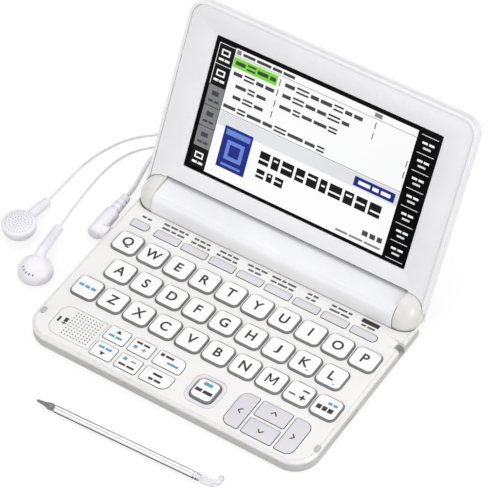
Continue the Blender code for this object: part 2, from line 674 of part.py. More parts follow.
def power_key_box():
    """Power key at the left of the top row, with a rounded right end."""
    return (POWER_KEY_X - POWER_KEY_WIDTH / 2, POWER_KEY_X + POWER_KEY_WIDTH / 2,
            TOP_ROW_Y - TOP_ROW_DEPTH / 2, TOP_ROW_Y + TOP_ROW_DEPTH / 2,
            (FLUSH_CORNER_RADIUS, FLUSH_END_RADIUS, FLUSH_END_RADIUS, FLUSH_CORNER_RADIUS))


def enter_key_box():
    """Enter key inside its trim ring."""
    return (ENTER_X - ENTER_WIDTH / 2, ENTER_X + ENTER_WIDTH / 2,
            ENTER_Y - ENTER_DEPTH / 2, ENTER_Y + ENTER_DEPTH / 2, (KEY_CORNER_RADIUS,) * 4)


def letter_key_box(x, y):
    """Box of one raised key."""
    return (x - KEY_WIDTH / 2, x + KEY_WIDTH / 2, y - KEY_DEPTH / 2, y + KEY_DEPTH / 2,
            (KEY_CORNER_RADIUS,) * 4)


def several(forms):
    """Put separate closed shapes into one bmesh."""
    whole = bmesh.new()
    for form in forms:
        mesh = bpy.data.meshes.new("part_of_group")
        form.to_mesh(mesh)
        form.free()
        whole.from_mesh(mesh)
        bpy.data.meshes.remove(mesh)
    return whole


def make_keyboard_panel():
    """White top plate with skirt walls, a hole for each key and its shallow recesses."""
    step = PANEL_EDGE_STEP_SHARE
    rings = [[(x, y, CASE_TOP_Z + PARTING_GAP) for x, y in base_plan(0)],
             [(x, y, PANEL_TOP_Z - PANEL_EDGE_DROP) for x, y in base_plan(0)],
             [(x, y, PANEL_TOP_Z - PANEL_EDGE_DROP * step) for x, y in base_plan(PANEL_EDGE_INSET * step)],
             [(x, y, PANEL_TOP_Z) for x, y in base_plan(PANEL_EDGE_INSET)]]
    panel = add_object("keyboard_panel", loft(rings), finish("white_panel", (0.88, 0.87, 0.85), 0.35))
    hollow = inset_outline(-HALF_WIDTH, HALF_WIDTH, FRONT_Y, BARREL_FRONT_Y, PLAN_RADII, WALL, PLAN_STEPS)
    combine(panel, add_object("panel_hollow", prism(hollow, CASE_TOP_Z - CUT_OVERRUN, PLATE_UNDER_Z)))
    holes = [letter_key_box(x, y) for name, x, y in letter_key_places()]
    holes += function_key_boxes() + side_key_boxes() + cursor_key_boxes()
    holes += [power_key_box(), enter_key_box()]
    forms = [prism(key_hole_outline(*hole, KEY_CORNER_STEPS), PLATE_UNDER_Z - CUT_OVERRUN / 2,
                   PANEL_TOP_Z + CUT_OVERRUN) for hole in holes]
    combine(panel, add_object("key_holes", several(forms)))
    recess_radii = (SPEAKER_RECESS_RADIUS,) * 4
    recess = rounded_outline(SPEAKER_RECESS_LEFT_X, SPEAKER_RECESS_RIGHT_X, SPEAKER_RECESS_FRONT_Y,
                             SPEAKER_RECESS_REAR_Y, recess_radii, PLAN_STEPS)
    half_width = ENTER_WIDTH / 2 + ENTER_RING_BAND
    half_depth = ENTER_DEPTH / 2 + ENTER_RING_BAND
    ring = rounded_outline(ENTER_X - half_width, ENTER_X + half_width, ENTER_Y - half_depth,
                           ENTER_Y + half_depth, (ENTER_RING_RADIUS,) * 4, PLAN_STEPS)
    sinks = [prism(recess, PANEL_TOP_Z - SPEAKER_RECESS_SINK, PANEL_TOP_Z + CUT_OVERRUN),
             prism(ring, PANEL_TOP_Z - ENTER_RING_RECESS, PANEL_TOP_Z + CUT_OVERRUN)]
    for side in (-1, 1):
        edge = side * (HALF_WIDTH - PANEL_EDGE_INSET)
        inner = edge - side * BUMPER_WIDTH
        sinks.append(box(min(edge, inner), max(edge, inner), BUMPER_Y - BUMPER_LENGTH / 2,
                         BUMPER_Y + BUMPER_LENGTH / 2, PANEL_TOP_Z - BUMPER_SINK,
                         PANEL_TOP_Z + CUT_OVERRUN))
    combine(panel, add_object("panel_recesses", several(sinks)))
    cut_for_hinge(panel, CASE_TOP_Z, PANEL_TOP_Z)
    cut_side_openings(panel)
    return panel


def notched_outline(left, right, front, rear, notch_right, low_y, high_y):
    """Board outline with a notch in its left edge for the earphone jack."""
    return [(left, front + BOARD_CORNER), (left + BOARD_CORNER, front), (right - BOARD_CORNER, front),
            (right, front + BOARD_CORNER), (right, rear), (left, rear),
            (left, high_y), (notch_right, high_y), (notch_right, low_y), (left, low_y)]


def jack_notch():
    """Right end and both sides of the room that the jack takes in the board and the mat."""
    half = JACK_WIDTH / 2 + SEAT_GAP
    return JACK_RIGHT_X + SEAT_GAP, JACK_Y - half, JACK_Y + half


def make_main_board():
    """Circuit board on the floor of the lower case."""
    outline = notched_outline(BOARD_LEFT_X, BOARD_RIGHT_X, BOARD_FRONT_Y, BOARD_REAR_Y, *jack_notch())
    return add_object("main_board", prism(outline, BOARD_BOTTOM_Z, BOARD_TOP_Z),
                      finish("circuit_board", (0.04, 0.22, 0.09), 0.5))


def make_key_mat():
    """Rubber sheet with a dome under each raised key."""
    notch_right, low_y, high_y = jack_notch()
    speaker_x = SPEAKER_RECESS_RIGHT_X + SEAT_GAP
    speaker_y = SPEAKER_RECESS_REAR_Y + MAT_SPEAKER_SPACE
    outline = [(speaker_x, BOARD_FRONT_Y), (BOARD_RIGHT_X - BOARD_CORNER, BOARD_FRONT_Y),
               (BOARD_RIGHT_X, BOARD_FRONT_Y + BOARD_CORNER), (BOARD_RIGHT_X, BOARD_REAR_Y),
               (BOARD_LEFT_X, BOARD_REAR_Y), (BOARD_LEFT_X, high_y), (notch_right, high_y),
               (notch_right, low_y), (BOARD_LEFT_X, low_y), (BOARD_LEFT_X, speaker_y),
               (speaker_x, speaker_y)]
    mat = add_object("key_mat", prism(outline, MAT_BOTTOM_Z, MAT_TOP_Z),
                     finish("silicone_mat", (0.55, 0.56, 0.58), 0.8))
    domes = []
    for name, x, y in letter_key_places():
        if name == "key_q":
            continue
        domes.append(turned([(MAT_TOP_Z - MAT_THICKNESS / 2, DOME_RADIUS), (MAT_TOP_Z, DOME_RADIUS),
                             (MAT_TOP_Z + DOME_HEIGHT, DOME_TOP_RADIUS)], DOME_STEPS, (x, y, 0), 'Z'))
    combine(mat, add_object("mat_domes", several(domes)), 'UNION')
    return mat


def raised_key(name, key_box, top_z, material):
    """Cap with a sloping skirt above the panel and a flange that holds it under the panel."""
    left, right, front, rear, radii = key_box

    def ring(grow_x, grow_y, z):
        outline = rounded_outline(left - grow_x, right + grow_x, front - grow_y, rear + grow_y,
                                  [max(radius + min(grow_x, 0), radius / 4) for radius in radii],
                                  KEY_CORNER_STEPS)
        return [(x, y, z) for x, y in outline]

    rings = [ring(KEY_FLANGE_SIDE, KEY_FLANGE_FRONT, FLANGE_BOTTOM_Z),
             ring(KEY_FLANGE_SIDE, KEY_FLANGE_FRONT, FLANGE_TOP_Z),
             ring(0, 0, FLANGE_TOP_Z),
             ring(0, 0, PANEL_TOP_Z + KEY_SKIRT_RISE),
             ring(-KEY_SKIRT_INSET, -KEY_SKIRT_INSET, top_z - KEY_SHOULDER_DROP),
             ring(-KEY_TOP_INSET, -KEY_TOP_INSET, top_z)]
    key = add_object(name, loft(rings), material)
    return key


def make_raised_keys():
    """All the white raised keys, each a piece of its own."""
    for name, x, y in letter_key_places():
        key = raised_key(name, letter_key_box(x, y), KEY_TOP_Z, finish(name, (0.93, 0.93, 0.93), 0.35))
        if name == "key_q":
            arch_top = JACK_Z + JACK_HEIGHT / 2 + SEAT_GAP + KEY_TRAVEL
            arch = box(x - KEY_WIDTH, JACK_RIGHT_X + SEAT_GAP, JACK_Y - JACK_WIDTH / 2 - SEAT_GAP,
                       y + KEY_DEPTH, FLANGE_BOTTOM_Z - CUT_OVERRUN, arch_top)
            combine(key, add_object("key_q_arch", arch))
    raised_key("enter_key", enter_key_box(), KEY_TOP_Z, finish("enter_key", (0.93, 0.93, 0.93), 0.3))


def flush_key_group(name, boxes, colour):
    """Flush caps moulded on one carrier web under the panel."""
    web_left = min(item[0] for item in boxes)
    web_right = max(item[1] for item in boxes)
    web_front = min(item[2] for item in boxes)
    web_rear = max(item[3] for item in boxes)
    group = add_object(name, box(web_left, web_right, web_front - KEY_FLANGE_FRONT,
                                 web_rear + KEY_FLANGE_FRONT, FLANGE_BOTTOM_Z, FLANGE_TOP_Z),
                       finish(name, colour, 0.35))
    caps = [prism(rounded_outline(*item, KEY_CORNER_STEPS), FLANGE_TOP_Z - KEY_FLANGE_THICKNESS / 2,
                  PANEL_TOP_Z + FLUSH_KEY_RISE) for item in boxes]
    combine(group, add_object(name + "_caps", several(caps)), 'UNION')
    return group


def make_flush_keys():
    """Power key, function strip, side keys and cursor keys."""
    lilac = (0.72, 0.71, 0.76)
    flush_key_group("power_key", [power_key_box()], lilac)
    flush_key_group("function_keys", function_key_boxes(), lilac)
    flush_key_group("side_keys", side_key_boxes(), (0.93, 0.93, 0.92))
    flush_key_group("cursor_keys", cursor_key_boxes(), lilac)


def make_loudspeaker():
    """Round speaker under the panel's recess: magnet below, frame above."""
    top = PLATE_UNDER_Z - SEAT_GAP
    bottom = top - SPEAKER_HEIGHT
    step = top - SPEAKER_FRAME_HEIGHT
    place = ((SPEAKER_RECESS_LEFT_X + SPEAKER_RECESS_RIGHT_X) / 2,
             (SPEAKER_RECESS_FRONT_Y + SPEAKER_RECESS_REAR_Y) / 2, 0)
    form = turned([(bottom, SPEAKER_MAGNET_RADIUS), (step, SPEAKER_MAGNET_RADIUS),
                   (step, SPEAKER_RADIUS), (top, SPEAKER_RADIUS)], SPEAKER_STEPS, place, 'Z')
    return smooth_round(add_object("loudspeaker", form, finish("speaker_steel", (0.3, 0.3, 0.32), 0.4, 0.8)))


def make_headphone_jack():
    """Socket block in the left side, open towards the plug."""
    jack = add_object("headphone_jack",
                      box(JACK_LEFT_X, JACK_RIGHT_X, JACK_Y - JACK_WIDTH / 2, JACK_Y + JACK_WIDTH / 2,
                          JACK_Z - JACK_HEIGHT / 2, JACK_Z + JACK_HEIGHT / 2),
                      finish("jack_plastic", (0.03, 0.03, 0.03), 0.4))
    bore = turned([(JACK_LEFT_X - CUT_OVERRUN, JACK_BORE_RADIUS),
                   (JACK_RIGHT_X - JACK_END_WALL, JACK_BORE_RADIUS)], ROUND_STEPS, (0, JACK_Y, JACK_Z))
    return combine(jack, add_object("jack_bore", bore))


def barrel_outline():
    """Section of the barrel: a circle with a flat along its top."""
    half_flat = math.degrees(math.acos(BARREL_FLAT_SHARE))
    start = 90 + half_flat
    sweep = 360 - 2 * half_flat
    points = []
    for i in range(BARREL_ARC_STEPS + 1):
        angle = math.radians(start + sweep * i / BARREL_ARC_STEPS)
        points.append((BARREL_Y + BARREL_RADIUS * math.cos(angle),
                       AXIS_Z + BARREL_RADIUS * math.sin(angle)))
    return points


def sector_outline(inner, outer, low_degrees, high_degrees):
    """Part of a ring round the barrel's centre line, between two angles from +Y."""
    def arc(radius, first, last):
        points = []
        for i in range(COVER_ARC_STEPS + 1):
            angle = math.radians(first + (last - first) * i / COVER_ARC_STEPS)
            points.append((BARREL_Y + radius * math.cos(angle), AXIS_Z + radius * math.sin(angle)))
        return points
    return arc(outer, low_degrees, high_degrees) + arc(inner, high_degrees, low_degrees)


def along_x(outline, half_length):
    """Solid with a section in Y and Z, along X."""
    return loft([[(x, y, z) for y, z in outline] for x in (-half_length, half_length)])


def make_hinge_barrel():
    """White barrel across the rear that holds the cells and the lid's two pins."""
    barrel = add_object("hinge_barrel", along_x(barrel_outline(), BARREL_HALF_LENGTH),
                        finish("white_barrel", (0.92, 0.92, 0.91), 0.2))
    bay = turned([(-BAY_HALF_LENGTH, CELL_RADIUS + CELL_GAP), (BAY_HALF_LENGTH, CELL_RADIUS + CELL_GAP)],
                 CELL_TURN_STEPS, (0, BARREL_Y, AXIS_Z - CELL_DROP))
    combine(barrel, add_object("cell_bay", bay))
    door = sector_outline(BARREL_RADIUS / 2, BARREL_RADIUS + CUT_OVERRUN,
                          COVER_LOW_DEGREES - COVER_EDGE_DEGREES, COVER_HIGH_DEGREES + COVER_EDGE_DEGREES)
    combine(barrel, add_object("door_opening", along_x(door, BAY_HALF_LENGTH)))
    for side, label in ((-1, "left"), (1, "right")):
        outer = side * (BARREL_HALF_LENGTH + CUT_OVERRUN)
        inner = side * (BARREL_HALF_LENGTH - PIN_LENGTH - HINGE_GAP)
        bore = turned([(inner, PIN_RADIUS + HINGE_GAP), (outer, PIN_RADIUS + HINGE_GAP)],
                      CAP_TURN_STEPS, (0, AXIS_Y, AXIS_Z))
        combine(barrel, add_object("pin_bore_" + label, bore))
    return barrel


def make_battery_cover():
    """Curved door at the rear of the barrel, its origin where it starts to slide."""
    door = sector_outline(BARREL_RADIUS - COVER_THICKNESS, BARREL_RADIUS,
                          COVER_LOW_DEGREES, COVER_HIGH_DEGREES)
    return add_object("battery_cover", along_x(door, BAY_HALF_LENGTH - SEAT_GAP),
                      finish("white_door", (0.88, 0.87, 0.85), 0.35))


def make_battery_cells():
    """Two AA cells end to end, meeting at the nub of the left one."""
    reach = CELL_LENGTH + CELL_NUB_LENGTH
    profile = [(-reach, CELL_RADIUS), (-reach + CELL_LENGTH, CELL_RADIUS),
               (-reach + CELL_LENGTH, CELL_NUB_RADIUS), (0, CELL_NUB_RADIUS), (0, CELL_RADIUS),
               (CELL_LENGTH, CELL_RADIUS), (CELL_LENGTH, CELL_NUB_RADIUS), (reach, CELL_NUB_RADIUS)]
    form = turned(profile, CELL_TURN_STEPS, (0, BARREL_Y, AXIS_Z - CELL_DROP))
    return smooth_round(add_object("battery_cells", form, finish("cell_label", (0.08, 0.09, 0.12), 0.3, 0.6)))


def lid_axis():
    """Empty on the hinge axis. Closed lid: v runs to -Y and depth behind the screen to +Z."""
    axis = bpy.data.objects.new("lid_axis", None)
    bpy.context.scene.collection.objects.link(axis)
    axis.location = (0, AXIS_Y, AXIS_Z)
    axis.rotation_euler = (-math.radians(LID_OPEN_DEGREES), 0, 0)
    return axis


def lid_plan(inset, low_v):
    """Plan of the lid in its closed frame, from its top edge to a low v."""
    radius = LID_CORNER_RADIUS - inset
    return rounded_outline(-HALF_WIDTH + inset, HALF_WIDTH - inset, -LID_TOP_V + inset, -low_v,
                           (radius, radius, LID_EAR_CORNER_RADIUS, LID_EAR_CORNER_RADIUS), PLAN_STEPS)


def cut_for_barrel(item, axis, low_v):
    """Open the lid's lower edge between its ears and clear the two caps."""
    reach = BARREL_HALF_LENGTH + HINGE_GAP
    gap = box(-reach, reach, -low_v, -LID_EAR_V + CUT_OVERRUN, -LID_BACK_DEPTH - CUT_OVERRUN,
              LID_BACK_DEPTH + CUT_OVERRUN)
    combine(item, add_object(item.name + "_barrel_gap", gap, parent=axis))
    for side, label in ((-1, "left"), (1, "right")):
        combine(item, cap_cutter(item.name + "_cap_room_" + label, side, HINGE_GAP, axis, (0, 0, 0)))


def make_lid_shell(axis):
    """White outer shell of the lid, a tray whose rim stands round the bezel."""
    edge = LID_BACK_EDGE
    half_edge = edge * LID_BACK_EDGE_STEP_SHARE
    rings = [[(x, y, -LID_RIM_RISE) for x, y in lid_plan(0, LID_EAR_V)],
             [(x, y, LID_BACK_DEPTH - edge) for x, y in lid_plan(0, LID_EAR_V)],
             [(x, y, LID_BACK_DEPTH - half_edge) for x, y in lid_plan(half_edge, LID_EAR_V + half_edge)],
             [(x, y, LID_BACK_DEPTH) for x, y in lid_plan(edge, LID_EAR_V + edge)]]
    shell = add_object("lid_shell", loft(rings), finish("white_lid", (0.93, 0.93, 0.93), 0.2), axis)
    seat = BEZEL_THICKNESS - BEZEL_FACE_RISE + SEAT_GAP
    pocket = lid_plan(LID_RIM_WIDTH, LID_EAR_V - CUT_OVERRUN)
    combine(shell, add_object("bezel_pocket", prism(pocket, -LID_RIM_RISE - CUT_OVERRUN, seat), parent=axis))
    hollow = lid_plan(LID_RIM_WIDTH, LID_LOWER_V + LID_BOTTOM_WALL)
    combine(shell, add_object("lid_hollow", prism(hollow, seat - CUT_OVERRUN / 2,
                                                  LID_BACK_DEPTH - LID_BACK_WALL), parent=axis))
    cut_for_barrel(shell, axis, LID_LOWER_V)
    return shell


def screen_window(margin):
    """Outline of the screen window in the closed lid's frame, grown by a margin."""
    return rounded_outline(SCREEN_LEFT_X - margin, SCREEN_RIGHT_X + margin,
                           -SCREEN_TOP_V - margin, -SCREEN_LOW_V + margin,
                           (SMALL_CORNER,) * 4, KEY_CORNER_STEPS)


def make_lid_bezel(axis):
    """Flat white frame round the screen."""
    plan = lid_plan(LID_RIM_WIDTH + SEAT_GAP, LID_EAR_V + SEAT_GAP)
    bezel = add_object("lid_bezel", prism(plan, -BEZEL_FACE_RISE, BEZEL_THICKNESS - BEZEL_FACE_RISE),
                       finish("white_bezel", (0.85, 0.86, 0.88), 0.3), axis)
    window = prism(screen_window(0), -BEZEL_FACE_RISE - CUT_OVERRUN, BEZEL_THICKNESS + CUT_OVERRUN)
    combine(bezel, add_object("screen_window", window, parent=axis))
    cut_for_barrel(bezel, axis, LID_LOWER_V)
    return bezel


def make_screen(axis):
    """Touch panel in the bezel's window and the display module behind it."""
    face = SCREEN_RECESS - BEZEL_FACE_RISE
    back = face + TOUCH_THICKNESS
    add_object("touch_panel", prism(screen_window(-SEAT_GAP), face, back),
               finish("touch_glass", (0.01, 0.01, 0.01), 0.08), axis)
    front = back + SEAT_GAP
    outline = screen_window(LCD_MARGIN)
    module = add_object("lcd_module", prism(outline, front, front + LCD_THICKNESS),
                        finish("lcd_frame", (0.5, 0.5, 0.52), 0.35, 0.7), axis)
    return module


def make_hinge_caps(axis):
    """Two domed caps on the lid's ears, each with the pin that turns in the barrel."""
    for side, label in ((-1, "left"), (1, "right")):
        dome = cap_profile(side, 0)
        tip_x = dome[-1][0]
        pin_end = side * (BARREL_HALF_LENGTH - PIN_LENGTH)
        profile = [(pin_end, 0), (pin_end, PIN_RADIUS), (dome[0][0], PIN_RADIUS), *dome[:-1],
                   (tip_x, dome[-1][1]), (tip_x, 0)]
        form = turned(profile, CAP_TURN_STEPS)
        ivory = finish("cap_" + label, (0.80, 0.79, 0.77), 0.3)
        smooth_round(add_object("hinge_cap_" + label, form, ivory, axis))


def make_stylus():
    """Metal stylus with a grey tip and a clear hook, lying in front of the dictionary."""
    turn = math.radians(STYLUS_TURN_DEGREES)
    start = Vector((*STYLUS_START, STYLUS_RADIUS + STYLUS_FLOOR_GAP))
    place = Matrix.Translation(start) @ Matrix.Rotation(turn, 4, 'Z')
    tube_form = turned([(0, STYLUS_RADIUS), (STYLUS_TUBE_LENGTH, STYLUS_RADIUS)], STYLUS_STEPS)
    bmesh.ops.transform(tube_form, matrix=place, verts=tube_form.verts)
    smooth_round(add_object("stylus_barrel", tube_form, finish("steel_tube", (0.75, 0.75, 0.77), 0.15, 1.0)))
    tip_form = turned([(-STYLUS_TIP_LENGTH, STYLUS_POINT_RADIUS), (-STYLUS_COLLAR_LENGTH, STYLUS_RADIUS),
                       (-SEAT_GAP, STYLUS_RADIUS)], STYLUS_STEPS)
    bmesh.ops.transform(tip_form, matrix=place, verts=tip_form.verts)
    smooth_round(add_object("stylus_tip", tip_form, finish("tip_plastic", (0.25, 0.25, 0.26), 0.4)))
    hook_z = HOOK_RADIUS - STYLUS_RADIUS
    hook_start = STYLUS_TUBE_LENGTH + SEAT_GAP
    route = [(hook_start, 0, hook_z)]
    route += [(hook_start + HOOK_LENGTH * along, HOOK_LENGTH * across, hook_z)
              for along, across in HOOK_SHARES]
    hook = [place @ point for point in smooth_route(route, HOOK_RADIUS)]
    tube("stylus_hook", hook, HOOK_RADIUS, 2, finish("clear_hook", (0.85, 0.87, 0.88), 0.1))


def make_plug():
    """Right-angle plug: pin in the jack, body along the side, ribbed relief to the cord."""
    collar_x = -HALF_WIDTH - PLUG_COLLAR_GAP
    pin_end = JACK_RIGHT_X - JACK_END_WALL - SEAT_GAP
    pin = turned([(PLUG_BODY_X, PLUG_COLLAR_RADIUS), (collar_x, PLUG_COLLAR_RADIUS),
                  (collar_x, PLUG_PIN_RADIUS), (pin_end - PLUG_PIN_TIP_LENGTH, PLUG_PIN_RADIUS),
                  (pin_end, PLUG_PIN_TIP_RADIUS)], ROUND_STEPS, (0, JACK_Y, JACK_Z))
    plug = add_object("earphone_plug", pin, finish("plug_plastic", (0.88, 0.88, 0.90), 0.3))
    body_start = JACK_Y - PLUG_BODY_SETBACK
    body_end = body_start + PLUG_BODY_LENGTH
    neck_end = body_end + PLUG_NECK_LENGTH / 2
    body = turned([(body_start, PLUG_BODY_RADIUS * PLUG_END_SHARE),
                   (body_start + PLUG_NECK_LENGTH / 2, PLUG_BODY_RADIUS),
                   (body_end, PLUG_BODY_RADIUS), (neck_end, PLUG_NECK_RADIUS),
                   (neck_end + PLUG_NECK_LENGTH / 2, RELIEF_RADIUS),
                   (neck_end + PLUG_NECK_LENGTH / 2 + RELIEF_LENGTH, RELIEF_END_RADIUS)],
                  ROUND_STEPS, (PLUG_BODY_X, 0, JACK_Z), 'Y')
    combine(plug, add_object("plug_body", body), 'UNION')
    return plug


def coil_points():
    """Centre line of the stored cord: in along the floor, up a layer, out again, then its tail."""
    half_turns = COIL_LAYER_TURNS + COIL_CLIMB_TURNS / 2
    outer = COIL_MEAN_RADIUS + half_turns * COIL_RADIAL_PITCH / 2
    low = TRUNK_DIAMETER / 2 + CORD_FLOOR_GAP
    steps = round(2 * half_turns * COIL_POINTS_PER_TURN)
    points = []
    for i in range(steps + 1):
        turn = 2 * half_turns * i / steps
        radius = outer - COIL_RADIAL_PITCH * min(turn, 2 * half_turns - turn)
        climbed = min(max((turn - COIL_LAYER_TURNS) / COIL_CLIMB_TURNS, 0), 1)
        angle = 2 * math.pi * turn - math.pi / 2
        points.append(Vector((COIL_X + radius * math.cos(angle), COIL_Y + radius * math.sin(angle),
                              low + COIL_LAYER_PITCH * climbed)))
    end = points[-1]
    for i in range(1, COIL_TAIL_STEPS + 1):
        share = i / COIL_TAIL_STEPS
        drop = (end.z - SPLITTER_Z) * (1 - math.cos(math.pi * share)) / 2
        points.append(Vector((end.x - COIL_TAIL_LENGTH * share, end.y, end.z - drop)))
    return points


def least_self_gap(points, diameter):
    """Smallest gap between two stretches of the coil that are not neighbours along it."""
    apart = COIL_POINTS_PER_TURN // 2
    least = min((points[i] - points[j]).length for i in range(len(points))
                for j in range(i + apart, len(points)))
    return least - diameter


def make_earphone_cord():
    """Trunk to the coil, the coil, the splitter and one lead to each earbud."""
    white = (0.86, 0.86, 0.89)
    tube("trunk_cord", smooth_route(TRUNK_ROUTE, CORD_POINT_STEP), TRUNK_DIAMETER / 2, 2,
         finish("trunk_cord", white, 0.5))
    coil = coil_points()
    tube("cord_coil", coil, TRUNK_DIAMETER / 2, 1, finish("cord_coil", white, 0.5))
    print("least gap in the coil, mm:", round(least_self_gap(coil, TRUNK_DIAMETER) * 1000, 3))
    end = coil[-1]
    start_x = end.x - SEAT_GAP
    splitter = turned([(start_x, SPLITTER_END_RADIUS), (start_x - SPLITTER_LENGTH / 4, SPLITTER_RADIUS),
                       (start_x - SPLITTER_LENGTH, SPLITTER_END_RADIUS)], ROUND_STEPS, (0, end.y, SPLITTER_Z))
    smooth_round(add_object("y_splitter", splitter, finish("y_splitter", white, 0.4)))
    tube("lead_left", smooth_route(LEAD_LEFT_ROUTE, LEAD_POINT_STEP), LEAD_DIAMETER / 2, 2,
         finish("lead_left", white, 0.5))
    tube("lead_right", smooth_route(LEAD_RIGHT_ROUTE, LEAD_POINT_STEP), LEAD_DIAMETER / 2, 2,
         finish("lead_right", white, 0.5))


def bud_profile(face_up):
    """Turned profile of an earbud's housing from the floor up."""
    rim = BUD_BACK_HEIGHT + BUD_RIM_HEIGHT
    profile = [(BUD_BACK_HEIGHT * up, BUD_RADIUS * out) for up, out in BUD_BACK_SHARES]
    profile += [(rim + BUD_FACE_RISE * up, BUD_RADIUS * out) for up, out in BUD_FACE_SHARES]
    if face_up:
        return [(BUD_FLOOR_GAP + along, radius) for along, radius in profile]
    top = rim + BUD_FACE_RISE
    return [(BUD_FLOOR_GAP + top - along, radius) for along, radius in reversed(profile)]


def swept(points, radii, steps):
    """Solid of round sections of changing radius along points."""
    rings = []
    for i, (point, radius) in enumerate(zip(points, radii)):
        ahead = points[min(i + 1, len(points) - 1)] - points[max(i - 1, 0)]
        side = ahead.cross(Vector((0, 0, 1))).normalized()
        up = side.cross(ahead).normalized()
        turns = [2 * math.pi * (j + 0.5) / steps for j in range(steps)]
        rings.append([point + (side * math.cos(turn) + up * math.sin(turn)) * radius for turn in turns])
    return loft(rings)


def make_earbud(name, place, stem_end, heights, face_up):
    """Earbud lying on the surface, with its stem towards the lead."""
    bud = add_object(name, turned(bud_profile(face_up), BUD_STEPS, (*place, 0), 'Z'),
                     finish(name, (0.90, 0.89, 0.92), 0.25))
    start = Vector(place)
    way = Vector(stem_end) - start
    points = [Vector((*(start + way * share), height))
              for share, height in zip(STEM_PLACE_SHARES, heights)]
    combine(bud, add_object(name + "_stem", swept(points, STEM_RADII, ROUND_STEPS)), 'UNION')
    return smooth_round(bud)


def build():
    clear_scene()
    make_lower_case()
    make_keyboard_panel()
    make_main_board()
    make_key_mat()
    make_loudspeaker()
    make_headphone_jack()
    make_hinge_barrel()
    make_battery_cover()
    make_battery_cells()
    axis = lid_axis()
    make_lid_shell(axis)
    make_lid_bezel(axis)
    make_screen(axis)
    make_hinge_caps(axis)
    make_raised_keys()
    make_flush_keys()
    make_stylus()
    make_plug()
    make_earphone_cord()
    make_earbud("earbud_left", LEFT_BUD_PLACE, LEFT_STEM_END, LEFT_STEM_HEIGHTS, True)
    make_earbud("earbud_right", RIGHT_BUD_PLACE, RIGHT_STEM_END, RIGHT_STEM_HEIGHTS, False)


build()
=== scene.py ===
from math import cos, dist, pi, radians, sin, sqrt
import bmesh
import bpy
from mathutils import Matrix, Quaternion, Vector


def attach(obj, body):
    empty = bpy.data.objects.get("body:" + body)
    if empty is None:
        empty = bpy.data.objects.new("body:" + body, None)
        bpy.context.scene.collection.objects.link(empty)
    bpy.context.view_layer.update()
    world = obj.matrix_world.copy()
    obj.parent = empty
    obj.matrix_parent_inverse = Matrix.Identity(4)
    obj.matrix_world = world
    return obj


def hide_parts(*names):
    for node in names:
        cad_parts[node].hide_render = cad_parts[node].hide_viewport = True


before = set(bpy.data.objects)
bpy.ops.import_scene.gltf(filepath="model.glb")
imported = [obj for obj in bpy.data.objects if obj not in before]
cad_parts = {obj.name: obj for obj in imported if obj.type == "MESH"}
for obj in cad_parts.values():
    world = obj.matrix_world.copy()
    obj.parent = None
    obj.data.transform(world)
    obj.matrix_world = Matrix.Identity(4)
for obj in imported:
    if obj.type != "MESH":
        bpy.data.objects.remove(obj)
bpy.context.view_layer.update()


def mm(*lengths):
    """Lengths in millimetres as metres, one number or several."""
    metres = tuple(length / 1000 for length in lengths)
    return metres if len(metres) > 1 else metres[0]


# Camera: at the photograph's angle and distance, worked out from the key grid and the lid.
# The rotation is the look direction and then a small roll about it.
camera_aim = Vector(mm(-19.101, 42.118, 0))
camera_distance = mm(1318.877)
camera_turn, camera_rise, camera_roll = radians(35.048), radians(49.055), radians(-2.137)
camera_back = Vector((sin(camera_turn) * cos(camera_rise),
                      -cos(camera_turn) * cos(camera_rise), sin(camera_rise)))
bpy.ops.object.camera_add(location=camera_aim + camera_back * camera_distance)
camera = bpy.context.object
camera.rotation_mode = 'QUATERNION'
camera.rotation_quaternion = camera_back.to_track_quat('Z', 'Y') @ Quaternion((0, 0, 1), camera_roll)
camera.data.sensor_fit = 'HORIZONTAL'
camera.data.sensor_width = 36
camera.data.lens = 214.68
bpy.context.scene.camera = camera
bpy.context.scene.view_settings.view_transform = 'Standard'


# Studio: a white paper sweep lit evenly by softboxes overhead, in front and at the right.
# The lens sees plain white; glossy parts also mirror the dark gaps between the boxes.
def linear(colour):
    """An sRGB hex colour as linear red, green, blue and alpha."""
    parts = [int(colour[i:i + 2], 16) / 255 for i in (0, 2, 4)]
    return (*(p / 12.92 if p <= 0.04045 else ((p + 0.055) / 1.055) ** 2.4 for p in parts), 1)


def add_node(tree, kind, values=None, links=None, **settings):
    """Add one node with its settings, its sockets' values and what feeds its sockets."""
    node = tree.nodes.new('ShaderNode' + kind)
    for name, value in settings.items():
        setattr(node, name, value)
    for socket, value in (values or {}).items():
        node.inputs[socket].default_value = value
    for socket, source in (links or {}).items():
        tree.links.new(getattr(source, "outputs", [source])[0], node.inputs[socket])
    return node


white, gap_dark = linear("FFFFFF"), linear("1A1A1C")
paper = bpy.data.materials.new("white_paper_sweep")
paper.use_nodes = True
tree = paper.node_tree
tree.nodes.clear()
ray = add_node(tree, 'LightPath').outputs
seen = add_node(tree, 'Math', links={0: ray["Is Camera Ray"], 1: ray["Is Glossy Ray"]}, operation='MAXIMUM')
seen = add_node(tree, 'Math', links={0: seen, 1: ray["Is Transmission Ray"]}, operation='MAXIMUM')
glow = add_node(tree, 'Emission', {"Color": white, "Strength": 0.78})
shaded = add_node(tree, 'BsdfDiffuse', {"Color": linear("8C8C8C")})
both = add_node(tree, 'AddShader', links={0: glow, 1: shaded})
bounce = add_node(tree, 'BsdfDiffuse', {"Color": linear("BEBEBE")})
mixed = add_node(tree, 'MixShader', links={0: seen, 1: bounce, 2: both})
add_node(tree, 'OutputMaterial', links={"Surface": mixed})
bpy.ops.mesh.primitive_plane_add(size=8)
floor = bpy.context.object
floor.name = "paper_floor"
floor.data.materials.append(paper)

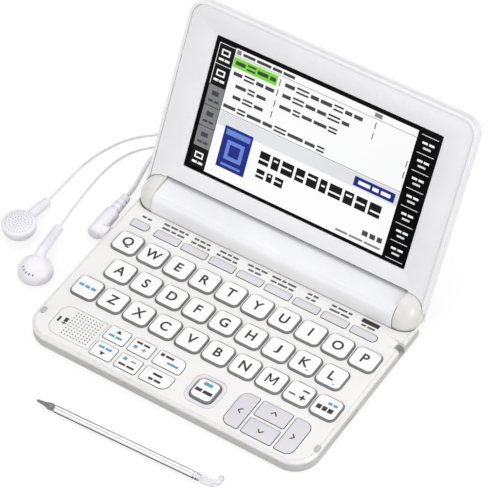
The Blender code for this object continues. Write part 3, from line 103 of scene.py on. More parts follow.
world = bpy.data.worlds.new("studio")
world.use_nodes = True
bpy.context.scene.world = world
tree = world.node_tree
tree.nodes.clear()
ray = add_node(tree, 'LightPath').outputs
clear_view = add_node(tree, 'Math', links={0: ray["Is Camera Ray"], 1: ray["Is Transmission Ray"]},
                      operation='MAXIMUM')
sky = add_node(tree, 'TexCoord')
way = add_node(tree, 'SeparateXYZ', links={0: sky.outputs["Generated"]})
rise = add_node(tree, 'Math', links={0: way.outputs["Z"], 1: way.outputs["Y"]}, operation='ARCTAN2')
share = add_node(tree, 'Math', {1: pi}, {0: rise}, operation='DIVIDE')
boxes = add_node(tree, 'ValToRGB', links={"Fac": share})
boxes.color_ramp.interpolation = 'EASE'
boxes.color_ramp.elements[0].color = boxes.color_ramp.elements[1].color = white
for place, colour in ((0.01, gap_dark), (0.12, gap_dark), (0.17, white), (0.66, white),
                      (0.69, gap_dark), (0.80, gap_dark), (0.83, white)):
    boxes.color_ramp.elements.new(place).color = colour
plain = add_node(tree, 'Background', {"Color": linear("F6F6F8"), "Strength": 0.56})
mirrored = add_node(tree, 'Background', {"Strength": 0.9}, {"Color": boxes})
backdrop = add_node(tree, 'Background', {"Color": white, "Strength": 1})
glossy = add_node(tree, 'MixShader', links={0: ray["Is Glossy Ray"], 1: plain, 2: mirrored})
mixed = add_node(tree, 'MixShader', links={0: clear_view, 1: glossy, 2: backdrop})
add_node(tree, 'OutputWorld', links={"Surface": mixed})

for label, place, size, power in (("overhead_softbox", (-0.25, 0.45, 1.30), 1.1, 5.5),
                                  ("front_softbox", (-0.35, -1.25, 0.80), 1.2, 6.2),
                                  ("right_softbox", (1.25, -0.10, 0.60), 0.8, 7.2)):
    bpy.ops.object.light_add(type='AREA', location=place)
    lamp = bpy.context.object
    lamp.name = label
    lamp.data.size, lamp.data.energy = size, power
    lamp.rotation_mode = 'QUATERNION'
    lamp.rotation_quaternion = (Vector(place) - camera_aim).to_track_quat('Z', 'Y')


def toned_surface(name, light, dark, spot, detail, band=(0, 1), gloss=None, inputs=None, tint="Base Color"):
    """Material whose tone, and gloss where a range is given, drifts over spots of one size."""
    surface = bpy.data.materials.new(name)
    surface.use_nodes = True
    nodes = surface.node_tree
    shader = nodes.nodes["Principled BSDF"]
    for socket, value in (inputs or {}).items():
        shader.inputs[socket].default_value = value
    place = add_node(nodes, 'TexCoord').outputs["Object"]
    drift = add_node(nodes, 'TexNoise', {"Scale": 1 / mm(spot), "Detail": detail}, {"Vector": place})
    tone = add_node(nodes, 'ValToRGB', links={"Fac": drift})
    for stop, position, colour in zip(tone.color_ramp.elements, band, (dark, light)):
        stop.position, stop.color = position, linear(colour)
    nodes.links.new(tone.outputs["Color"], shader.inputs[tint])
    if gloss:
        sheen = add_node(nodes, 'MapRange', {"To Min": gloss[0], "To Max": gloss[1]}, {"Value": drift})
        nodes.links.new(sheen.outputs["Result"], shader.inputs["Roughness"])
    return surface, shader, place, drift, tone


def metal(name, light, dark, spot, detail, gloss):
    """Plated or polished metal whose tone and gloss drift."""
    return toned_surface(name, light, dark, spot, detail, gloss=gloss, inputs={"Metallic": 1})


def plastic(name, light, dark, roughness, grain, depth, more=None):
    """Moulded plastic: faint drifts of tone and gloss, and the mould's texture as a low bump."""
    surface, shader, place, *_ = toned_surface(
        name, light, dark, 22, 3, (0.3, 0.7), (roughness * 0.88, roughness * 1.12),
        {"IOR": 1.53, "Coat Roughness": 0.06, **(more or {})})
    nodes = surface.node_tree
    mould = add_node(nodes, 'TexNoise', {"Scale": 1 / mm(grain), "Detail": 2}, {"Vector": place})
    relief = add_node(nodes, 'Bump', {"Strength": 0.5, "Distance": mm(depth)}, {"Height": mould})
    nodes.links.new(relief.outputs["Normal"], shader.inputs["Normal"])
    return surface


def put_down():
    """Leave edit mode and deselect everything."""
    if bpy.context.object and bpy.context.object.mode == 'EDIT':
        bpy.ops.object.mode_set(mode='OBJECT')
    bpy.ops.object.select_all(action='DESELECT')


def alone(item):
    """Select one piece alone."""
    put_down()
    item.select_set(True)
    bpy.context.view_layer.objects.active = item
    return item


def edit(item):
    """Open one piece alone in edit mode, all of it selected."""
    alone(item)
    bpy.ops.object.mode_set(mode='EDIT')
    bpy.ops.mesh.select_all(action='SELECT')
    return item


def named(name):
    """The object made last, named with its mesh."""
    item = bpy.context.object
    item.name = item.data.name = name
    return item


def settle(item, place=(0, 0, 0), turn=(0, 0, 0)):
    """Turn and move a piece and keep its place in its mesh."""
    alone(item)
    item.location, item.rotation_euler = mm(*place), [radians(angle) for angle in turn]
    bpy.ops.object.transform_apply()
    return item


def turned(name, profile, steps, place=(0, 0, 0), turn=(0, 0, 0)):
    """A disc extruded and resized along a profile of heights and radii, as on a lathe."""
    put_down()
    height, radius = mm(*profile[0])
    bpy.ops.mesh.primitive_circle_add(vertices=steps, radius=radius, fill_type='NGON')
    item = edit(named(name))
    bpy.ops.transform.translate(value=(0, 0, height))
    for point in profile[1:]:
        next_height, next_radius = mm(*point)
        bpy.ops.mesh.extrude_region_move(TRANSFORM_OT_translate={"value": (0, 0, next_height - height)})
        share = next_radius / radius
        bpy.ops.transform.resize(value=(share, share, 1))
        height, radius = next_height, next_radius
    bpy.ops.mesh.select_all(action='SELECT')
    bpy.ops.mesh.normals_make_consistent()
    return settle(item, place, turn)


def modify(item, kind, **settings):
    """Add one modifier with its settings and apply it."""
    alone(item)
    added = item.modifiers.new(kind, kind)
    for name, value in settings.items():
        setattr(added, name, value)
    bpy.ops.object.modifier_apply(modifier=added.name)
    return item


def soften(item, width, segments=2, degrees=50):
    """Bevel every edge that is sharper than an angle."""
    return modify(item, 'BEVEL', width=mm(width), segments=segments, limit_method='ANGLE',
                  angle_limit=radians(degrees))


def cut(item, *tools, operation='DIFFERENCE'):
    """Cut tools out of a piece and take the tools away."""
    for tool in tools:
        modify(item, 'BOOLEAN', operation=operation, solver='EXACT', object=tool)
        bpy.data.objects.remove(tool, do_unlink=True)
    return item


def weld(item, *pieces):
    """Weld pieces to a piece as one solid."""
    return cut(item, *pieces, operation='UNION')


def smooth(item, degrees=35):
    """Shade smoothly over everything flatter than an angle."""
    alone(item)
    bpy.ops.object.shade_smooth_by_angle(angle=radians(degrees))
    return item


def dress(item, finish, body, slot, *nodes):
    """Give a finished piece its material and body, and hide the CAD nodes that it stands for; its slot is not used.
    """
    put_down()
    if finish:
        item.data.materials.append(finish)
    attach(item, body)
    if nodes:
        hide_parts(*nodes)
    return item


TO_X, TO_Y = (0, 90, 0), (-90, 0, 0)
JACK_LINE = (0, 14.5, 3.75)
# Earphone plug: a right-angle 3.5 mm plug of white moulded ABS with a ribbed strain relief.
# Its collar stands against the left side of the keyboard half, and its metal pin is in the jack.
earphone_white = plastic("earphone_abs", "F4F2F7", "ECEAF1", 0.30, 1.6, 0.02)
plug_profile = [(10.5 + 1.7 * (1 - cos(radians(a))), 2 + 1.7 * sin(radians(a))) for a in range(0, 91, 10)]
plug_profile += [(25.9, 3.65), (26.5, 3.45), (26.9, 2.9), (27.3, 2.3)]
for i in range(3):
    start, radius = 27.6 + 3.4 * i, 2.75 - 0.2 * i
    plug_profile += [(start, radius - 0.6), (start + 0.6, radius - 0.6), (start + 0.8, radius),
                     (start + 2.8, radius - 0.1), (start + 3, radius - 0.6)]
plug = turned("plug_body", plug_profile + [(38.1, 1.25)], 56, (-80.6, 0, 3.75), TO_Y)
weld(plug, turned("plug_collar", ((-80.6, 3.5), (-75.2, 3.45), (-74.7, 3.35), (-74.4, 3.1)), 40,
                  JACK_LINE, TO_X))
dress(smooth(soften(plug, 0.25)), earphone_white, "earphones", "earphone_white", "earphone_plug")

nickel = metal("plated_brass_pin", "E8E8EC", "C9C9CE", 0.8, 2, (0.14, 0.24))[0]
pin = turned("plug_pin", ((-74.4, 1.7), (-68.4, 1.7), (-68.35, 1.55), (-67.9, 1.55), (-67.85, 1.7), (-64.8, 1.7),
                          (-64.75, 1.55), (-64.3, 1.55), (-64.25, 1.7), (-62.4, 1.7), (-61.8, 1.2), (-61.3, 1.5),
                          (-60.6, 0.9)), 32, JACK_LINE, TO_X)
dress(smooth(pin), nickel, "earphones", "earphone_white")

# Splitter: a small moulded sleeve behind the lid where the cord divides into its two leads.
# It is a turned form with rounded shoulders, moulded over the cords.
splitter = turned("cord_splitter", ((-74.3, 1.1), (-74.1, 1.5), (-73, 1.7), (-66, 1.88), (-62, 1.9),
                                    (-59.6, 1.75), (-58.6, 1.55), (-58.3, 1.2)), 40, (0, 117.6, 2), TO_X)
dress(smooth(splitter), earphone_white, "earphones", "earphone_white", "y_splitter")


# Earbuds: white moulded shells, one lying face up with its grille of small holes, the other on its face.
# The stem grows out of the back of each shell and takes the lead; both are one soft moulding.
def round_line(name, knots, depth, roundness, steps):
    """A round line through knots of x, y, z and, where its depth is 1, a radius."""
    line = bpy.data.curves.new(name, 'CURVE')
    line.dimensions, line.resolution_u = '3D', steps
    line.bevel_depth, line.bevel_resolution, line.use_fill_caps = depth, roundness, True
    spline = line.splines.new('BEZIER')
    spline.bezier_points.add(len(knots) - 1)
    for knot, (x, y, z, *radius) in zip(spline.bezier_points, knots):
        knot.co, knot.radius = mm(x, y, z), mm(radius[0]) if radius else 1
        knot.handle_left_type = knot.handle_right_type = 'AUTO'
    item = bpy.data.objects.new(name, line)
    bpy.context.scene.collection.objects.link(item)
    return item


def as_mesh(item):
    """Turn a line or a text into a mesh."""
    alone(item)
    bpy.ops.object.convert(target='MESH')
    return bpy.context.object


def scatter(name, spots, add, **settings):
    """One mesh of small forms, the later ones added in edit mode, and left there."""
    put_down()
    add(location=mm(*spots[0]), **settings)
    item = named(name)
    bpy.ops.object.transform_apply()
    bpy.ops.object.mode_set(mode='EDIT')
    for spot in spots[1:]:
        add(location=mm(*spot), **settings)
    return item


backs = ((0, 0.26), (0.03, 0.40), (0.09, 0.53), (0.18, 0.65), (0.30, 0.77), (0.44, 0.865), (0.60, 0.93),
         (0.80, 0.98), (1, 1))
bud_profile = [(5.8 * up, 8.2 * out) for up, out in backs] + [
    (6.9, 8.2), (7.35, 8), (7.6, 7.6), (7.75, 6.9), (7.95, 5.6), (8.1, 4), (8.2, 0.9)]
left_stem = ((-110.9, 0.5, 4.6, 2.35), (-110.85, 3.4, 4.6, 2.5), (-110.7, 8, 4.4, 2.4),
             (-110.5, 13, 3.5, 2.35), (-110.4, 16.3, 2.85, 2.3))
right_stem = ((-91.2, -16.6, 7.2, 2.5), (-91.8, -13, 7.9, 2.6), (-92.6, -8.4, 7.5, 2.5),
              (-94, -2, 6.1, 2.4), (-95.3, 4.7, 4.8, 2.35))
face_up = [(0.2 + z, r) for z, r in bud_profile]
face_down = [(8.6 - z, r) for z, r in reversed(bud_profile)]
buds = {}
for side, x, y, stem, profile in (("left", -111.1, -4.1, left_stem, face_up),
                                  ("right", -90.4, -20.1, right_stem, face_down)):
    bud = turned("bud_" + side, profile, 72, (x, y, 0))
    weld(bud, as_mesh(round_line("bud_stem", stem, 1, 8, 12)))
    modify(bud, 'REMESH', mode='VOXEL', voxel_size=mm(0.26))
    modify(bud, 'SMOOTH', factor=0.5, iterations=7)
    buds[side] = dress(smooth(bud, 60), earphone_white, "earphones", "earphone_white", "earbud_" + side)

mesh_dark = plastic("grille_hole_grey", "A9A6B0", "9895A0", 0.55, 0.8, 0.01)
spots = [(-111.1, -4.1, 8.17)]
for ring, count in ((1.5, 7), (3, 14), (4.6, 21), (6.2, 28)):
    for i in range(count):
        angle = 2 * pi * (i + ring) / count
        spots.append((-111.1 + ring * cos(angle), -4.1 + ring * sin(angle), 8.17 - 0.0095 * ring ** 2))
grille = scatter("bud_grille_holes", spots, bpy.ops.mesh.primitive_cylinder_add,
                 vertices=10, radius=mm(0.27), depth=mm(0.6))
dress(smooth(grille), mesh_dark, "earphones", "earphone_white")

# Vents: five oval slots across the back of the right earbud.
# They are dark ovals sunk into its skin, with a small dot inside the shell that begins their mesh.
vent_dark = plastic("vent_slot_grey", "5E5B63", "504D55", 0.6, 0.8, 0.01)
vents = scatter("bud_vent_slots", [(-90.4, -20.1, 6)], bpy.ops.mesh.primitive_uv_sphere_add,
                segments=16, ring_count=10, radius=mm(0.1))
for x, y, z in ((-93.85, -24.27, 7.42), (-92.55, -25.42, 7.22), (-90.95, -26.08, 7.02), (-89.2, -26.2, 6.92),
                (-87.45, -25.75, 6.82)):
    bpy.ops.mesh.primitive_uv_sphere_add(segments=16, ring_count=10, radius=mm(0.4), location=mm(x, y, z),
                                         scale=(0.7, 1.5, 1), rotation=(0.5, 0, (x + 90.4) * 0.1))
dress(smooth(vents), vent_dark, "earphones", "earphone_white")

# Cord: limp white PVC, 1.9 mm from the plug to the splitter and 1.0 mm to each earbud.
# The part that the photograph doesn't show is wound in a flat two-layer coil behind the lid.
soft_pvc = plastic("cord_soft_pvc", "F1F0F5", "E4E3EA", 0.48, 1.2, 0.03)
trunk = [(-80.6, 38.4, 3.75), (-80.8, 41.2, 3.6), (-81.4, 44.4, 3), (-82.5, 48.4, 2.1), (-84.2, 54.1, 1.1),
         (-85.4, 59.4, 1), (-86.3, 65, 1), (-85.5, 71, 1), (-81.8, 76, 1), (-75, 78.9, 1),
         (-66, 80.9, 1), (-56, 82.2, 1), (-50, 82.4, 1)]
half_turns, turn_points = 5.75, 24
for i in range(round(2 * half_turns * turn_points) + 1):
    turns = i / turn_points
    radius = 10.7 + half_turns * 1.2 - 2.4 * min(turns, 2 * half_turns - turns)
    climbed = min(max((turns - 5.5) / 0.5, 0), 1)
    angle = 2 * pi * turns - pi / 2
    trunk.append((-46 + radius * cos(angle), 100 + radius * sin(angle), 1 + 2.35 * climbed))
tail_x, tail_y, tail_z = trunk[-1]
for i in range(1, 7):
    fall = (tail_z - 2) * (1 - cos(pi * i / 6)) / 2
    trunk.append((tail_x - 2 * i, tail_y, tail_z - fall))
lead_left = [
    (-74.6, 118.35, 2), (-77, 118.35, 2), (-81.8, 117.1, 1.4), (-87.3, 111.8, 0.7), (-89.4, 103.5, 0.55),
    (-89.2, 94, 0.55), (-90.2, 86, 0.55), (-93.4, 79.5, 0.55), (-97.5, 75.7, 0.55), (-101.4, 71.4, 0.55),
    (-104.7, 66.3, 0.55), (-107.3, 60.3, 0.55), (-109.5, 53.7, 0.55), (-110.9, 46, 0.55), (-111.3, 38.6, 0.7),
    (-111.1, 30.5, 1.4), (-110.7, 22.2, 2.3), (-110.5, 16.7, 2.8)]
lead_right = [
    (-74.6, 116.85, 2), (-77, 116.85, 2), (-80.2, 114.9, 1.4), (-84, 110.6, 0.7), (-85.8, 104.5, 0.55),
    (-85.8, 96.5, 0.55), (-85.4, 88, 0.55), (-86.1, 80.5, 0.55), (-88, 75, 0.55), (-90.9, 71.1, 0.55),
    (-94.1, 67.5, 0.55), (-96.8, 63.2, 0.55), (-98.8, 57.9, 0.55), (-100.1, 51.6, 0.55), (-100.6, 44.4, 0.6),
    (-100.2, 36, 1), (-99.3, 28.4, 1.9), (-97.9, 20.1, 3.2), (-96.3, 11.8, 4.3), (-95.5, 5.1, 4.8)]
for label, route, thick, length, lay, nodes, fitting in (
        ("cord_trunk", trunk, 1.9, 0.862, "coiled", ("trunk_cord", "cord_coil"), splitter),
        ("cord_lead_left", lead_left, 1, 0.117, "loose", ("lead_left",), buds["left"]),
        ("cord_lead_right", lead_right, 1, 0.122, "loose", ("lead_right",), buds["right"])):
    cord = dress(round_line(label, route, mm(thick) / 2, 6, 6), soft_pvc, "earphones", "cord_white", *nodes)


# Lower case: a shallow tray moulded in grey ABS with a fine matt texture, wall 1.2 mm.
# Its rear is cut away for the barrel and the lid's turning caps; the panel closes it from above.
BARREL_LINE, HINGE_LINE = (0, 42.8, 9.5), (0, 43.1, 9.5)


def block(name, low, high):
    """A cube, brought to its two corners in edit mode and left there."""
    put_down()
    low, high = mm(*low), mm(*high)
    bpy.ops.mesh.primitive_cube_add(size=1)
    item = edit(named(name))
    bpy.ops.transform.resize(value=[b - a for a, b in zip(low, high)])
    bpy.ops.transform.translate(value=[(a + b) / 2 for a, b in zip(low, high)])
    return item


def pick(kind, test):
    """In edit mode, select the faces or edges whose middle and direction pass a test."""
    bpy.ops.mesh.select_mode(type=kind)
    bpy.ops.mesh.select_all(action='DESELECT')
    mesh = bpy.context.object.data
    form = bmesh.from_edit_mesh(mesh)
    if kind == 'FACE':
        found = [face for face in form.faces if test(face.calc_center_median(), face.normal)]
    else:
        found = [edge for edge in form.edges if test((edge.verts[0].co + edge.verts[1].co) / 2,
                                                    (edge.verts[1].co - edge.verts[0].co).normalized())]
    for element in found:
        element.select_set(True)
    bmesh.update_edit_mesh(mesh)


def bevel_where(test, width, segments):
    """In edit mode, bevel the edges that pass a test."""
    pick('EDGE', test)
    bpy.ops.mesh.bevel(offset=mm(width), segments=segments, affect='EDGES')


def bevel_rim(height, width, segments):
    """In edit mode, bevel the level edges that lie at one height."""
    bevel_where(lambda middle, way: abs(middle.z - mm(height)) < mm(0.01) and abs(way.z) < 0.1, width, segments)


def rounded(name, low, high, radii, segments):
    """Block with upright edges of one radius, or of four from the front left counterclockwise."""
    item = block(name, low, high)
    corners = ((low[0], low[1]), (high[0], low[1]), (high[0], high[1]), (low[0], high[1]))
    for corner, radius in zip(corners, radii if isinstance(radii, tuple) else (radii,) * 4):
        if radius:
            bevel_where(lambda middle, way: abs(way.z) > 0.9 and dist(middle[:2], mm(*corner)) < mm(0.01),
                        radius, segments)
    return item


def cap_profile(side, grow):
    """Profile of a hinge cap along X: full at the barrel and domed at its outer end."""
    spread = (0, 0.06, 0.13, 0.21, 0.3, 0.39, 0.48, 0.57, 0.65, 0.73, 0.8, 0.86, 0.91, 0.95, 0.98, 0.995)
    return [(side * (64.2 - grow), 9.3 + grow)] + [
        (side * (64.2 + share * (9.8 + grow)), 9.3 * sqrt(1 - share ** 2.6) + grow) for share in spread]


def hinge_room(item):
    """Cut the room for the barrel and the two turning caps out of a piece."""
    cut(item, turned("barrel_room", ((-64.2, 9.8), (64.2, 9.8)), 128, BARREL_LINE, TO_X))
    for side in (-1, 1):
        cut(item, turned("cap_room", cap_profile(side, 0.75), 96, HINGE_LINE, TO_X))
    cut(item, block("rear_room", (-69.5, 38, -5), (69.5, 50, 20)))


def left_and_right_holes(item, pen_floor):
    """Cut the plug's hole and the mouth of the stylus's bay through the sides of a piece."""
    cut(item, turned("jack_hole", ((-76, 2.35), (-72, 2.35)), 32, JACK_LINE, TO_X),
            rounded("pen_mouth", (70.4, 24.1, pen_floor), (77, 28.9, 9), (1, 0.2, 0.2, 1), 5))


foot_spots = ((-58.5, -39), (58.5, -39), (-58.5, 22), (58.5, 22))
screw_spots = ((-66.5, 8), (64, -6), (-24, -46.5), (24, -46.5))
case = rounded("case_tray", (-74, -52.75, 0.25), (74, 41, 4.7), (12, 12, 0, 0), 20)
bevel_rim(0.25, 1, 4)
bevel_rim(4.7, 0.15, 2)
cut(case, rounded("tray_hollow", (-72.8, -51.55, 1.2), (72.8, 32.1, 9), (10.8, 10.8, 0.5, 0.5), 12))
weld(case, block("pen_channel_rib", (68, -49.7, 1), (68.9, 21.7, 4.6)),
     block("pen_bay_side", (69.4, 22.9, 1), (70.3, 30.1, 4.6)),
     block("pen_bay_rear", (69.4, 29.1, 1), (73.2, 30.1, 4.6)))
hinge_room(case)
left_and_right_holes(case, 1.25)
cut(case, block("card_slot_room", (73.5, -20.2, 1.6), (77, -10.4, 4)))
for x, y in foot_spots:
    cut(case, turned("foot_seat", ((0, 4.3), (0.75, 4.3)), 40, (x, y, 0)))
for x, y in screw_spots:
    cut(case, turned("screw_seat", ((-1, 2.2), (1.15, 2.2)), 32, (x, y, 0)))
cut(case, rounded("label_recess", (-34, -28, -1), (34, 14, 0.35), 2, 6))
case_grey = plastic("case_abs_matt_grey", "CDCDCA", "C2C2BF", 0.46, 1.1, 0.05)
dress(smooth(case, 30), case_grey, "base", "case_grey", "lower_case")

# Card slot door: a small flush flap of the case's grey ABS in its right side.
# It snaps into its slot and has softened edges.
slot_door = block("card_slot_door", (73.4, -20, 1.75), (73.85, -10.6, 3.85))
dress(smooth(soften(slot_door, 0.12, degrees=40)), case_grey, "base", "case_grey")

# Feet and screws: four soft rubber discs pressed into their seats, and four cross-head steel screws.
# The screws stand a little below the surface of the case.
foot_rubber = plastic("foot_rubber", "8E8E8C", "7E7E7C", 0.75, 0.9, 0.04)
screw_steel = metal("zinc_plated_screw_steel", "C4C6C8", "8F9194", 0.5, 3, (0.28, 0.42))[0]
for i, (x, y) in enumerate(foot_spots):
    foot = turned("foot_" + str(i + 1), ((0, 3.5), (0.05, 3.85), (0.2, 4.05), (0.7, 4.05)), 40, (x, y, 0))
    dress(smooth(foot), foot_rubber, "base", "case_grey")
for i, (x, y) in enumerate(screw_spots):
    screw = turned("screw_" + str(i + 1), ((0.42, 1.1), (0.5, 1.6), (0.75, 1.85), (1.12, 1.85)), 32, (x, y, 0))
    for wide, deep in ((2.2, 0.5), (0.5, 2.2)):
        cut(screw, block("cross", (x - wide / 2, y - deep / 2, 0.1), (x + wide / 2, y + deep / 2, 0.75)))
    dress(smooth(screw), screw_steel, "base", "case_grey")

# Keyboard panel: a white moulded ABS plate with a matt texture, 0.9 mm thick with skirt walls.
# It snaps on the tray and has holes for the keys, a sunk grille and seats for two lid bumpers.
letter_rows = (("qwertyuiop", 0, 12), ("asdfghjkl", 7, -3.65), ("zxcvbnm", 14, -19.3))
key_spots = {"key_" + letter: (-61.8 + offset + 14 * i, y)
             for letters, offset, y in letter_rows for i, letter in enumerate(letters)}
key_spots.update({"shift_key": (-61.8, -19.3), "symbol_key": (50.2, -19.3), "delete_key": (64.2, -19.3)})
function_keys = [(-48.6 + 14.93 * i - 6.415, -48.6 + 14.93 * i + 6.415, 22.2, 26.2,
                  (0.6, 1.7, 1.7, 0.6) if i == 7 else (0.6,) * 4) for i in range(8)]
side_keys = [(left, right, front, front + 8, (0.9, corners[0], corners[1], 0.9))
             for front, corner in ((-48.8, (3.8, 0.9)), (-38.5, (0.9, 3.8)))
             for left, right, corners in ((-40.4, -29.6, (0.9, 0.9)), (-27.4, -16.3, (0.9, 0.9)),
                                          (-14.1, 0.3, corner))]
cursor_keys = [(29.3, 37.6, -49.3, -30.2, (3.8, 0.6, 0.6, 3.8)), (39.5, 54.5, -49.3, -40.7, (0.6,) * 4),
               (39.5, 54.5, -38.8, -30.2, (0.6,) * 4), (56.4, 64.7, -49.3, -30.2, (0.6, 3.8, 3.8, 0.6))]
power_keys = [(-67.9, -58.9, 22.2, 26.2, (0.6, 1.7, 1.7, 0.6))]
enter_outline = (9.2, 20.8, -45.4, -33.4, (3,) * 4)
bumper_sides = (("left", -72.2, -70.2), ("right", 71.4, 73.4))


def hole_tool(name, outline, gap, low, high):
    """Cutter for the hole round an outline of left, right, front, rear and four radii."""
    left, right, front, rear, radii = outline
    return rounded(name, (left - gap, front - gap, low), (right + gap, rear + gap, high),
                         tuple(radius + gap for radius in radii), 6)


def twin(item, name):
    """A copy of a piece with a mesh of its own."""
    copy = item.copy()
    copy.data = item.data.copy()
    copy.name = copy.data.name = name
    bpy.context.scene.collection.objects.link(copy)
    return copy


panel = rounded("panel_plate", (-74, -52.75, 5), (74, 41, 7.4), (12, 12, 0, 0), 20)
bevel_rim(7.4, 1, 1)
bevel_rim(5, 0.15, 2)
cut(panel, rounded("panel_hollow", (-72.8, -51.55, 3), (72.8, 32.1, 6.5), (10.8, 10.8, 0.5, 0.5), 12))
letter_tool = settle(hole_tool("letter_tool", (-6.5, 6.5, -6.15, 6.15, (3,) * 4), 0.25, 5.5, 9))
for x, y in key_spots.values():
    cut(panel, settle(twin(letter_tool, "letter_hole"), (x, y, 0)))
bpy.data.objects.remove(letter_tool, do_unlink=True)
for outline in function_keys + side_keys + cursor_keys + power_keys:
    cut(panel, hole_tool("flush_hole", outline, 0.34, 5.5, 9))
cut(panel, hole_tool("enter_hole", enter_outline, 0.3, 5.5, 9),
        hole_tool("enter_ring_seat", (7, 23, -47.6, -31.2, (4.6,) * 4), 0, 7, 9),
        hole_tool("speaker_recess", (-65, -41.6, -48.2, -31, (5, 0.8, 0.8, 5)), 0, 6.7, 9))
weld(panel, hole_tool("speaker_plate", (-64.6, -42, -47.8, -31.4, (4.6, 0.4, 0.4, 4.6)), 0, 6.45, 7.15))
edge_line = rounded("edge_line", (-72.75, -51.5, 7.15), (72.75, 60, 9), (10.75, 10.75, 0, 0), 16)
cut(edge_line, rounded("edge_line_room", (-72.5, -51.25, 7), (72.5, 61, 9.5), (10.5, 10.5, 0, 0), 16))
cut(panel, edge_line)
for label, left, right in bumper_sides:
    cut(panel, hole_tool("bumper_seat", (left, right, -41.5, -37.7, (0.95,) * 4), 0.12, 6.9, 9))
weld(panel, block("scoop_floor", (63.5, 21, 5.1), (73, 32, 6.6)))
scoop = rounded("pen_scoop", (-5.5, -2.9, -1.2), (4.6, 2.9, 4), (1.2, 0.3, 0.3, 1.2), 6)
cut(panel, settle(scoop, (66.6, 26.5, 8.35), (0, 18, 0)))
hinge_room(panel)
left_and_right_holes(panel, 2.6)
panel_white = plastic("panel_abs_matt_white", "F3F2F0", "EDECE9", 0.42, 1.1, 0.035)
dress(smooth(panel, 30), panel_white, "base", "panel_white", "keyboard_panel")

# Bumpers: two soft pads pressed into the panel that the closed lid rests on.
# They are translucent grey silicone, a little proud of the panel.
silicone = plastic("bumper_silicone", "C8C6C4", "BCBAB8", 0.55, 0.9, 0.02)
for label, left, right in bumper_sides:
    bumper = rounded("bumper_" + label, (left, -41.5, 6.9), (right, -37.7, 7.9), 0.95, 6)
    bevel_rim(7.9, 0.35, 3)
    dress(smooth(bumper, 50), silicone, "base", "panel_white")

# Speaker grille: eighty-one small holes moulded through the sunk plate, drawn as near-black discs on it.
# Their near-black is painted shade for the dark inside the holes.
speaker_hole_shade = plastic("speaker_hole_painted_shade", "2B2A2C", "1E1D1F", 0.8, 0.5, 0.02)
holes = scatter("speaker_holes", [(-57.1 + 1.62 * (i % 9), -32.9 - 1.62 * (i // 9), 7.08) for i in range(81)],
                bpy.ops.mesh.primitive_cylinder_add, vertices=12, radius=mm(0.32), depth=mm(0.2))
dress(holes, speaker_hole_shade, "base", "speaker_metal")


# Panel print: pad-printed marks, a microphone sign by the grille and dashes above the keys.
# The dashes stand where the real panel has words, and each is a thin coat of ink.
def add_marks(level, *rows):
    """In edit mode, add flat marks between two heights: left, right, front, rear, material, turn."""
    low, high = level
    for left, right, front, rear, slot, *turn in rows:
        bpy.ops.mesh.primitive_cube_add(
            size=1, location=mm((left + right) / 2, (front + rear) / 2, (low + high) / 2),
            scale=mm(right - left, rear - front, high - low), rotation=(0, 0, radians(sum(turn))))
        bpy.context.object.active_material_index = slot
        bpy.ops.object.material_slot_assign()


def add_dashes(level, x, low, high, slot, gap, *widths):
    """In edit mode, add a row of flat marks from x on, evenly spaced."""
    for width in widths:
        add_marks(level, (x, x + width, low, high, slot))
        x += width + gap


def start_marks(name, finishes, level, *rows):
    """A sheet of marks, begun as an emptied block, filled in edit mode and left there."""
    item = block(name, (0, 0, 0), (1, 1, 1))
    bpy.ops.mesh.delete(type='VERT')
    for finish in finishes:
        item.data.materials.append(finish)
    add_marks(level, *rows)
    return item


def printed_ink(name, light, dark):
    """Pad-printed ink: an even coat that is a little mottled where it is thin."""
    return toned_surface(name, light, dark, 1.5, 2, inputs={"Roughness": 0.5})[0]


ink_black = printed_ink("ink_soft_black", "1E1D1F", "151416")
ink_grey = printed_ink("ink_warm_grey", "62605E", "545250")
ink_blue = printed_ink("ink_sky_blue", "5CA3C9", "4C93BB")
on_grille, on_panel = (7.13, 7.17), (7.38, 7.42)
panel_marks = start_marks("panel_print", [ink_grey, ink_black], on_grille, (-63.1, -62, -41.4, -38.3, 1),
                          (-60.3, -58.5, -40, -37.6, 1), (-59.6, -59.2, -41.8, -39.8, 1),
                          (-60.6, -58.2, -41.1, -40.6, 1))
for x, low, *dashes in ((-65.7, 28.6, 2.3, 2.1), (-54.6, 30.1, 3, 3.6, 2.8, 1.6), (-54.2, 27.7, 4.2, 2.6, 3.8),
        (-38, 30.1, 2.4, 2.6, 2.2), (-38.3, 27.7, 2.8, 4.4, 1.4), (-24.2, 30.1, 3.4, 2.2, 3),
        (-24.6, 27.7, 2.2, 5, 2.4), (-9.2, 30.1, 3.1, 2.7, 3.2), (-7.5, 27.7, 2.8, 3.2), (3.8, 30.1, 4.6, 2.2, 4.4),
        (4.5, 27.7, 3, 5, 2.6), (22.6, 30.1, 2.3, 2.6), (23, 27.7, 2.1, 2.2), (35.2, 30.1, 2.7, 4.6, 2),
        (35.5, 27.7, 5.2, 4), (52, 27.7, 2.4, 3.8)):
    add_dashes(on_panel, x, low + 0.15, low + 1.25, 0, 0.7, *dashes)
add_marks(on_panel, (51, 59.8, 29.7, 32, 1))
dress(panel_marks, None, "base", "panel_white")

# Raised keys: one white ABS cap per letter with a dished-off edge and a darker grey skirt below it.
# Each is two-shot moulded, and its legend is one plain letter printed on the flat top.
key_white = plastic("keycap_abs_white", "FAF9F8", "F5F4F3", 0.34, 1.2, 0.02)
key_skirt = plastic("keycap_skirt_grey", "7A797A", "6C6B6C", 0.5, 1.2, 0.02)
key_finishes = [key_white, key_skirt, ink_black, ink_blue]
on_cap = (8.58, 8.62)


